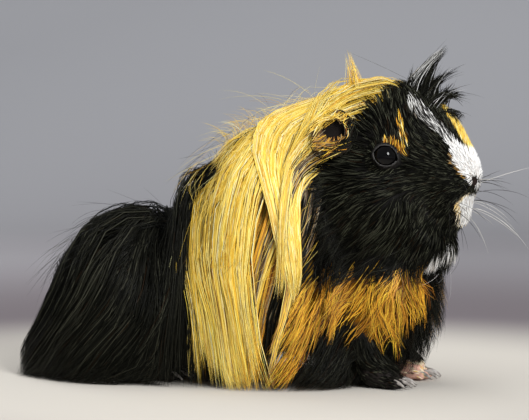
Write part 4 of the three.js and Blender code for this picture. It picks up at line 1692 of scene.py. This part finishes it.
FREE_RINGS = 8  # points along a hair that stands free
ARCS, HAZE = 44, 150  # long hairs over the nape, and short ones behind it
WHISKERS, WHISKER_RINGS = 20, 12  # on each side


def any_side(lines, rng):
    """A direction of its own for each hair that stands free of the coat."""
    return np.broadcast_to(unit(rng.normal(0, 1, (len(lines), 1, 3))), lines.shape)


def within(ranges, count, rng):
    """Random places or directions, each of whose parts has its own range."""
    return np.stack([rng.uniform(low, high, count) for low, high in ranges], 1)


def drooping(starts, ways, droop, sizes, rings):
    """Hairs that set out one way and droop another."""
    s = np.linspace(0, 1, rings)[None, :, None]
    sizes = sizes[:, None, None]
    return starts[:, None] + ways[:, None] * sizes * s + droop[:, None] * sizes * s * s


def arched(at, spread, bend, tip, tip_spread, count, shortest, rng):
    """Hairs that leave a patch, pass near a middle point and draw together at a tip."""
    offset = rng.normal(0, 0.5, (count, 3)) * np.array(spread)
    roots = np.array(at) + offset
    middle = np.array(bend) + offset * 0.6 + rng.normal(0, 0.45, (count, 3))
    ends = np.array(tip) + rng.normal(0, 0.5, (count, 3)) * np.array(tip_spread) + offset * 0.10
    # the middle point lies on the curve, not beside it
    middle = 2 * middle - 0.5 * roots - 0.5 * ends
    s = np.linspace(0, 1, FREE_RINGS)[None, :, None] * rng.uniform(shortest, 1, (count, 1, 1)) ** 0.7
    return (1 - s) ** 2 * roots[:, None] + 2 * s * (1 - s) * middle[:, None] + s * s * ends[:, None]


# Tufts that stand up, in the straight head: roots and their spread, middle, tip and its spread, how
# many hairs, the shortest as a share of the longest, and the shares of pale and gold hairs.
TUFTS = [
    ((81, 0, 123), (5.4, 8, 2.4), (83.6, -0.3, 137), (95.4, 0.2, 150), (1.4, 1.2, 2.4), 300, 0.5, 0.05, 0),
    ((85, 0, 121), (5, 8, 2.4), (87, 0, 130), (91.5, 0.5, 138), (3.6, 3.6, 5), 170, 0.4, 0.04, 0),
    ((87, 0, 120), (4.4, 8, 2.4), (91.5, 1, 127.5), (97.5, 1.5, 133), (4.6, 4.4, 4.6), 150, 0.35, 0.03, 0),
    ((80.5, -4, 124), (2.4, 2, 2.2), (81.9, -3.3, 136.5), (94.2, -1, 149), (1.3, 1, 1.8), 190, 0.5, 0.85, 0),
    ((85, 0, 122), (3.5, 7, 2), (89, 0.5, 133.5), (99.5, 1, 141), (4.6, 3.4, 3.4), 80, 0.4, 0.03, 0),
    ((87.5, 1, 121), (4, 8, 2), (93.2, 1.5, 128.5), (103.5, 2.5, 127), (5.5, 4.5, 4.5), 170, 0.35, 0.02, 0),
    ((90, 1, 118), (4, 8, 2), (95.4, 2, 121.8), (102.2, 2.5, 117), (3.6, 5, 3.6), 150, 0.35, 0.02, 0),
    ((78, -5, 125), (3.6, 3, 1.6), (79, -5, 132), (81.3, -5, 141.5), (2.4, 2, 3), 70, 0.35, 0.15, 0),
    ((53.4, -8, 124), (6, 4, 1.5), (54.2, -8.6, 134.5), (50.8, -8.8, 148.5), (1.9, 1.4, 3), 110, 0.25, 0, 1),
]


class GUINEAPIG_OT_forelock(bpy.types.Operator):
    """The upright forelock on the brow and the small lock that stands on the nape"""

    bl_idname = "guineapig.forelock"
    bl_label = "Forelock"

    def execute(self, context):
        rng = np.random.default_rng(23)
        lines, tones, radii = [], [], []
        for at, spread, bend, tip, tip_spread, count, shortest, pale, gold in TUFTS:
            lines.append(arched(at, spread, bend, tip, tip_spread, count, shortest, rng))
            pick = rng.random(count)
            kind = np.where(pick < pale, WHITE, np.where(pick < pale + gold, GOLD, BLACK))
            tone = strand_tones(kind, rng)
            tone[kind == WHITE] *= rng.uniform(0.35, 1.0, ((kind == WHITE).sum(), 1))
            tones.append(tone)
            radii.append(rng.uniform(0.09, 0.17, count) * (1 - 0.35 * gold))
        tones, radii = np.concatenate(tones), np.concatenate(radii)
        lines = turned(np.concatenate(lines).reshape(-1, 3)).reshape(-1, FREE_RINGS, 3)
        side = any_side(lines, rng)
        made = tubes("forelock", lines, lines[:, 0], tones, radii, side, (0.8, 1.1))
        finished(made, hair_material("forelock hair", 0.42, 0.12))
        return {"FINISHED"}


class GUINEAPIG_OT_flyaways(bpy.types.Operator):
    """Fine single hairs that stand off the coat"""

    bl_idname = "guineapig.flyaways"
    bl_label = "Loose hairs"

    def execute(self, context):
        settings = context.scene.guinea_pig_coat
        rng = np.random.default_rng(41)

        def upper(c):
            return np.where(rooted_in_coat(c) & (c[:, 2] > 50), 1.0, 0.0)

        roots = scattered(SKIN["points"], SKIN["quads"], settings.loose_hairs, rng, upper)
        lanes = Lanes(roots, rng)
        kind = markings(roots)
        starts = settled_on(roots, np.full(len(roots), -1.5, F32))
        n = normals_at(starts[:, None], envelope)[:, 0]
        flow = unit(body_flow(starts, n, lanes.at(starts[:, 2] - 9), np.zeros(len(starts))))
        flow = unit(flow - n * np.sum(flow * n, 1, keepdims=True))
        ways = unit(flow + n * rng.uniform(0.08, 0.42, (len(n), 1)) + rng.normal(0, 0.16, (len(n), 3)))
        lengths = rng.uniform(10, 27, len(roots))
        bend = flow * 0.2 - n * rng.uniform(0.05, 0.4, (len(n), 1)) + rng.normal(0, 0.12, (len(n), 3))
        lines = drooping(starts, ways, bend, lengths, FREE_RINGS)
        # long arcs over the nape, and a haze of short ones behind it
        at = within(((10, 46), (-16, 16), (116, 124)), ARCS, rng)
        away = within(((-1.0, 0.5), (-0.5, 0.5), (0.35, 1.0)), ARCS, rng)
        droop = within(((-0.6, 0.1), (-0.3, 0.3), (-0.8, -0.2)), ARCS, rng)
        more = drooping(at, unit(away), droop, rng.uniform(14, 34, ARCS), FREE_RINGS)
        low = within(((-24, 16), (-22, 22)), HAZE, rng)
        low = np.concatenate([low, np.full((HAZE, 1), 112)], 1)
        low = settled_on(low.astype(F32), np.full(HAZE, -6.0, F32), 6)
        away = within(((-1.0, 0.6), (-0.6, 0.6), (0.5, 1.1)), HAZE, rng)
        droop = within(((-0.5, 0.1), (-0.3, 0.3), (-0.7, -0.3)), HAZE, rng)
        soft = drooping(low, unit(away), droop, rng.uniform(8, 19, HAZE), FREE_RINGS)
        lines = np.concatenate([lines, more, soft])
        roots = np.concatenate([roots, at.astype(F32), low])
        behind = np.where(rng.random(HAZE) < smooth(-18, -4, low[:, 0]), GOLD, BLACK)
        kind = np.concatenate([kind, np.full(ARCS, GOLD), behind])
        lines = np.clip(lines, (-116, -66, 0.6), (118, 66, 156))
        tone = strand_tones(kind, rng)
        tone[kind == BLACK] = np.maximum(tone[kind == BLACK], 0.015)
        side = any_side(lines, rng)
        radius = rng.uniform(0.035, 0.06, len(lines))
        made = tubes("loose_hairs", lines, roots, tone, radius, side, (1.0, 1.05), flat=1.0, high=1.0)
        finished(made, hair_material("loose hair", 0.45, 0.30))
        return {"FINISHED"}


class GUINEAPIG_OT_whiskers(bpy.types.Operator):
    """Whiskers on both sides of the muzzle"""

    bl_idname = "guineapig.whiskers"
    bl_label = "Whiskers"

    def execute(self, context):
        rng = np.random.default_rng(31)
        count = WHISKERS
        lines, tones = [], []
        for side in (-1, 1):
            row = rng.integers(0, 4, count)
            roots = within(((98, 105), (8.0, 10.0)), count, rng) * np.array([1, side])
            roots = np.concatenate([roots, (79 + row * 3.4)[:, None]], 1)
            rise = (row - 1.2) * 0.22 + rng.normal(0, 0.08, count)
            ways = within(((0.3, 1.1), (0.4, 0.9)), count, rng) * np.array([1, side])
            ways = unit(np.concatenate([ways, rise[:, None]], 1))
            lengths = rng.uniform(18, 34, count)
            sag = rng.uniform(-0.45, -0.10, count)
            bend = np.stack([np.full(count, -0.12), np.full(count, side * 0.03), sag], 1)
            lines.append(drooping(roots, ways, bend, lengths, WHISKER_RINGS))
            tones.append(np.where(rng.random((count, 1)) < 0.3, (0.70, 0.68, 0.62), (0.008, 0.007, 0.006)))
        lines = turned(np.concatenate(lines).reshape(-1, 3)).reshape(-1, WHISKER_RINGS, 3)
        tones, radius = np.concatenate(tones), np.full(len(lines), 0.10)
        side = any_side(lines, rng)
        made = tubes("whiskers", lines, lines[:, 0], tones, radius, side, (1.0, 1.0), flat=1.0, high=1.0)
        finished(made, hair_material("whisker", 0.3, 0.5))
        return {"FINISHED"}


# ---- stage ----------------------------------------------------------------------------------------------

# The sweep, in metres: where the floor starts and bends up behind the animal, the bend's radius, its
# height and half its width.
SWEEP_START, SWEEP_BEND, SWEEP_RADIUS, SWEEP_TOP, SWEEP_HALF = -1.6, 1.1, 0.7, 2.6, 3.2
# Each lamp's place in metres: towards the camera, to its right, and up, then its size.
LAMPS = {
    "key": (1.15, 0.58, 0.55, 0.42),
    "overhead": (0.15, -0.25, 1.3, 1.1),
    "rim": (-0.7, -0.5, 0.9, 0.7),
}
LAMP_TARGET = (0.0, 0.0, 0.07)
SENSOR = 36  # millimetres


def stage_material(settings):
    """A pale floor around the animal that runs out into a grey backdrop."""
    made, tree, shader = new_material("studio sweep")
    place = tree.nodes.new("ShaderNodeTexCoord")
    squash = tree.nodes.new("ShaderNodeMapping")
    squash.inputs["Scale"].default_value = (1, 1, 0)
    tree.links.new(place.outputs["Object"], squash.inputs["Vector"])
    far = tree.nodes.new("ShaderNodeVectorMath")
    far.operation = "LENGTH"
    tree.links.new(squash.outputs["Vector"], far.inputs[0])
    fit = tree.nodes.new("ShaderNodeMapRange")
    fit.inputs["From Min"].default_value = settings.floor_reach
    fit.inputs["From Max"].default_value = settings.floor_reach + 1.5
    tree.links.new(far.outputs["Value"], fit.inputs["Value"])
    colours = (settings.floor_colour, settings.haze_colour, settings.backdrop_colour)
    floor, low, high = (tuple(colour) for colour in colours)
    middle = tuple(a * 0.6 + b * 0.4 for a, b in zip(low, high))
    colour = ramp(tree, fit.outputs["Result"], [(0.0, floor), (0.12, low), (0.45, middle), (1.0, high)])
    colour.node.color_ramp.interpolation = "EASE"
    surfaced(tree, shader, colour, 0.9, 0.1)
    return made


def lamp(name, place, size, power):
    """A soft lamp aimed at the animal. Only the main one shows in the eye."""
    data = bpy.data.lights.new(name, "AREA")
    data.shape = "ELLIPSE"
    data.size, data.size_y = size, size * 1.5
    data.energy = power
    made = bpy.data.objects.new(name, data)
    made.location = place
    made.rotation_euler = (Vector(LAMP_TARGET) - Vector(place)).to_track_quat("-Z", "Y").to_euler()
    made.visible_glossy = name == "key"
    bpy.context.scene.collection.objects.link(made)


class GUINEAPIG_OT_stage(bpy.types.Operator):
    """Floor and backdrop, soft lamps, and the camera"""

    bl_idname = "guineapig.stage"
    bl_label = "Stage"

    def execute(self, context):
        settings = context.scene.guinea_pig_stage
        heading, rise = settings.view_heading, settings.view_rise
        level = math.cos(rise)
        back = np.array([math.sin(heading) * level, -math.cos(heading) * level, math.sin(rise)])
        right = np.array([math.cos(heading), math.sin(heading), 0])
        up = np.cross(back, right)
        origin = OFFSET * MM
        spot = origin + back * settings.view_distance
        # the sweep: a wide floor that curves up behind the animal
        arc = [(SWEEP_START, 0.0), (SWEEP_BEND, 0.0)]
        for a in np.linspace(0.1, math.pi / 2, 16):
            up_by = SWEEP_RADIUS - SWEEP_RADIUS * math.cos(a)
            arc.append((SWEEP_BEND + SWEEP_RADIUS * math.sin(a), up_by))
        arc.append((SWEEP_BEND + SWEEP_RADIUS, SWEEP_TOP))
        way = -np.array([back[0], back[1], 0]) / level
        rows = []
        for run, height in arc:
            for across in (-SWEEP_HALF, SWEEP_HALF):
                rows.append(origin + way * run + right * across + np.array([0, 0, height]))
        quads = np.array([(2 * i, 2 * i + 1, 2 * i + 3, 2 * i + 2) for i in range(len(arc) - 1)])
        sweep = mesh_of("studio_sweep", np.array(rows, F32), quads, keep_frame=True)
        sweep.data.materials.append(stage_material(settings))
        # the camera looks at the middle of the picture from the same spot
        data = bpy.data.cameras.new("camera")
        camera = bpy.data.objects.new("camera", data)
        context.scene.collection.objects.link(camera)
        aim = origin + right * settings.aim_side + up * settings.aim_up
        camera.location = spot
        camera.rotation_euler = (Vector(aim) - Vector(spot)).to_track_quat("-Z", "Y").to_euler()
        data.sensor_width = SENSOR
        data.lens = SENSOR * settings.view_distance / settings.view_width
        data.clip_start, data.clip_end = 0.05, 20
        context.scene.camera = camera
        # light
        powers = (settings.key_power, settings.fill_power, settings.rim_power)
        for (name, (near, aside, high, size)), power in zip(LAMPS.items(), powers):
            place = origin + back * near + right * aside + np.array([0, 0, high])
            lamp(name, tuple(place), size, power)
        world = bpy.data.worlds.new("studio")
        world.use_nodes = True
        shade = world.node_tree.nodes["Background"]
        shade.inputs["Color"].default_value = (0.96, 0.97, 1.0, 1)
        shade.inputs["Strength"].default_value = settings.world_strength
        context.scene.world = world
        context.scene.view_settings.view_transform = "Standard"
        return {"FINISHED"}


# ---- settings, panel and registration -------------------------------------------------------------------


def length_setting(label, says, default):
    """A length in metres."""
    return FloatProperty(name=label, description=says, default=default, unit="LENGTH")


def count_setting(label, says, default, least):
    """A whole number with a lower limit."""
    return IntProperty(name=label, description=says, default=default, min=least)


def angle_setting(label, says, degrees):
    """An angle, shown in degrees."""
    return FloatProperty(name=label, description=says, default=math.radians(degrees), subtype="ANGLE")


def colour_setting(label, says, default):
    """A colour, linear."""
    return FloatVectorProperty(name=label, description=says, default=default, subtype="COLOR")


def power_setting(label, says, default):
    """A lamp's power in watts."""
    return FloatProperty(name=label, description=says, default=default, unit="POWER")


class GuineaPigForm(bpy.types.PropertyGroup):
    """Sizes of the skin"""

    skin_cell: length_setting("Skin cell", "Mesh size of the skin on the head", 0.0009)


class GuineaPigCoat(bpy.types.PropertyGroup):
    """Sizes of the coat"""

    lock_spacing: length_setting("Lock spacing", "Distance between the roots of two long locks", 0.0056)
    ruff_spacing: length_setting(
        "Ruff spacing", "Distance between the roots of two tufts of the ruff", 0.0038
    )
    strands_per_lock: count_setting("Hairs in a lock", "Hairs in each long lock", 14, 1)
    strands_per_tuft: count_setting("Hairs in a tuft", "Hairs in each tuft of the ruff", 9, 1)
    strand_radius: length_setting("Hair radius", "Radius of a long hair at its middle", 0.00017)
    rings: count_setting("Rings", "Points along a long hair", 8, 4)
    fur_strands: count_setting("Face hairs", "Hairs of short fur on the head", 13400, 10)
    leg_strands: count_setting("Leg hairs", "Hairs of short fur on the legs", 2200, 10)
    ear_strands: count_setting("Ear hairs", "Hairs on the two ears", 2600, 10)
    loose_hairs: count_setting("Loose hairs", "Single hairs that stand off the coat", 650, 1)


class GuineaPigStage(bpy.types.PropertyGroup):
    """View and light"""

    view_heading: angle_setting("Heading", "Camera angle from the animal's right", 22)
    view_rise: angle_setting("Rise", "Camera angle above the floor", 7)
    view_distance: length_setting("Distance", "Camera distance", 1.1)
    view_width: length_setting("View width", "Width of the view at the animal", 0.24334)
    aim_side: length_setting("Aim side", "Aim to the right of the origin", 0.0062)
    aim_up: length_setting("Aim up", "Aim above the origin", 0.0764)
    floor_colour: colour_setting("Floor", "Colour of the floor by the animal", (0.56, 0.53, 0.48))
    haze_colour: colour_setting("Haze", "Colour of the sweep further back", (0.170, 0.150, 0.161))
    backdrop_colour: colour_setting("Backdrop", "Colour of the backdrop", (0.50, 0.505, 0.53))
    floor_reach: length_setting("Floor reach", "How far the pale floor reaches", 0.14)
    key_power: power_setting("Key", "Power of the main lamp", 21.2)
    fill_power: power_setting("Fill", "Power of the large lamp overhead", 8)
    rim_power: power_setting("Rim", "Power of the lamp behind", 5)
    world_strength: FloatProperty(name="World", description="Strength of the even light", default=0.36)


OPERATORS = (
    GUINEAPIG_OT_skin,
    GUINEAPIG_OT_eyes,
    GUINEAPIG_OT_claws,
    GUINEAPIG_OT_coat,
    GUINEAPIG_OT_ruff,
    GUINEAPIG_OT_fur,
    GUINEAPIG_OT_forelock,
    GUINEAPIG_OT_flyaways,
    GUINEAPIG_OT_whiskers,
    GUINEAPIG_OT_stage,
)


class GUINEAPIG_PT_panel(bpy.types.Panel):
    """Lists the pieces of the guinea pig"""

    bl_label = "Guinea Pig"
    bl_space_type = "VIEW_3D"
    bl_region_type = "UI"
    bl_category = "Guinea Pig"

    def draw(self, context):
        for operator in OPERATORS:
            self.layout.operator(operator.bl_idname)
        for group in ("guinea_pig_form", "guinea_pig_coat", "guinea_pig_stage"):
            settings = getattr(context.scene, group)
            for name in settings.bl_rna.properties.keys():
                if name not in ("rna_type", "name"):
                    self.layout.prop(settings, name)


GROUPS = {
    "guinea_pig_form": GuineaPigForm,
    "guinea_pig_coat": GuineaPigCoat,
    "guinea_pig_stage": GuineaPigStage,
}


def register():
    for name, group in GROUPS.items():
        bpy.utils.register_class(group)
        setattr(bpy.types.Scene, name, PointerProperty(type=group))
    for made in (*OPERATORS, GUINEAPIG_PT_panel):
        bpy.utils.register_class(made)


def unregister():
    for made in reversed((*OPERATORS, GUINEAPIG_PT_panel)):
        bpy.utils.unregister_class(made)
    for name, group in GROUPS.items():
        delattr(bpy.types.Scene, name)
        bpy.utils.unregister_class(group)


def main():
    register()
    bpy.ops.guineapig.stage()
    bpy.ops.guineapig.skin()
    bpy.ops.guineapig.eyes()
    bpy.ops.guineapig.claws()
    bpy.ops.guineapig.coat()
    bpy.ops.guineapig.ruff()
    bpy.ops.guineapig.fur()
    bpy.ops.guineapig.forelock()
    bpy.ops.guineapig.flyaways()
    bpy.ops.guineapig.whiskers()


if __name__ == "__main__":
    main()
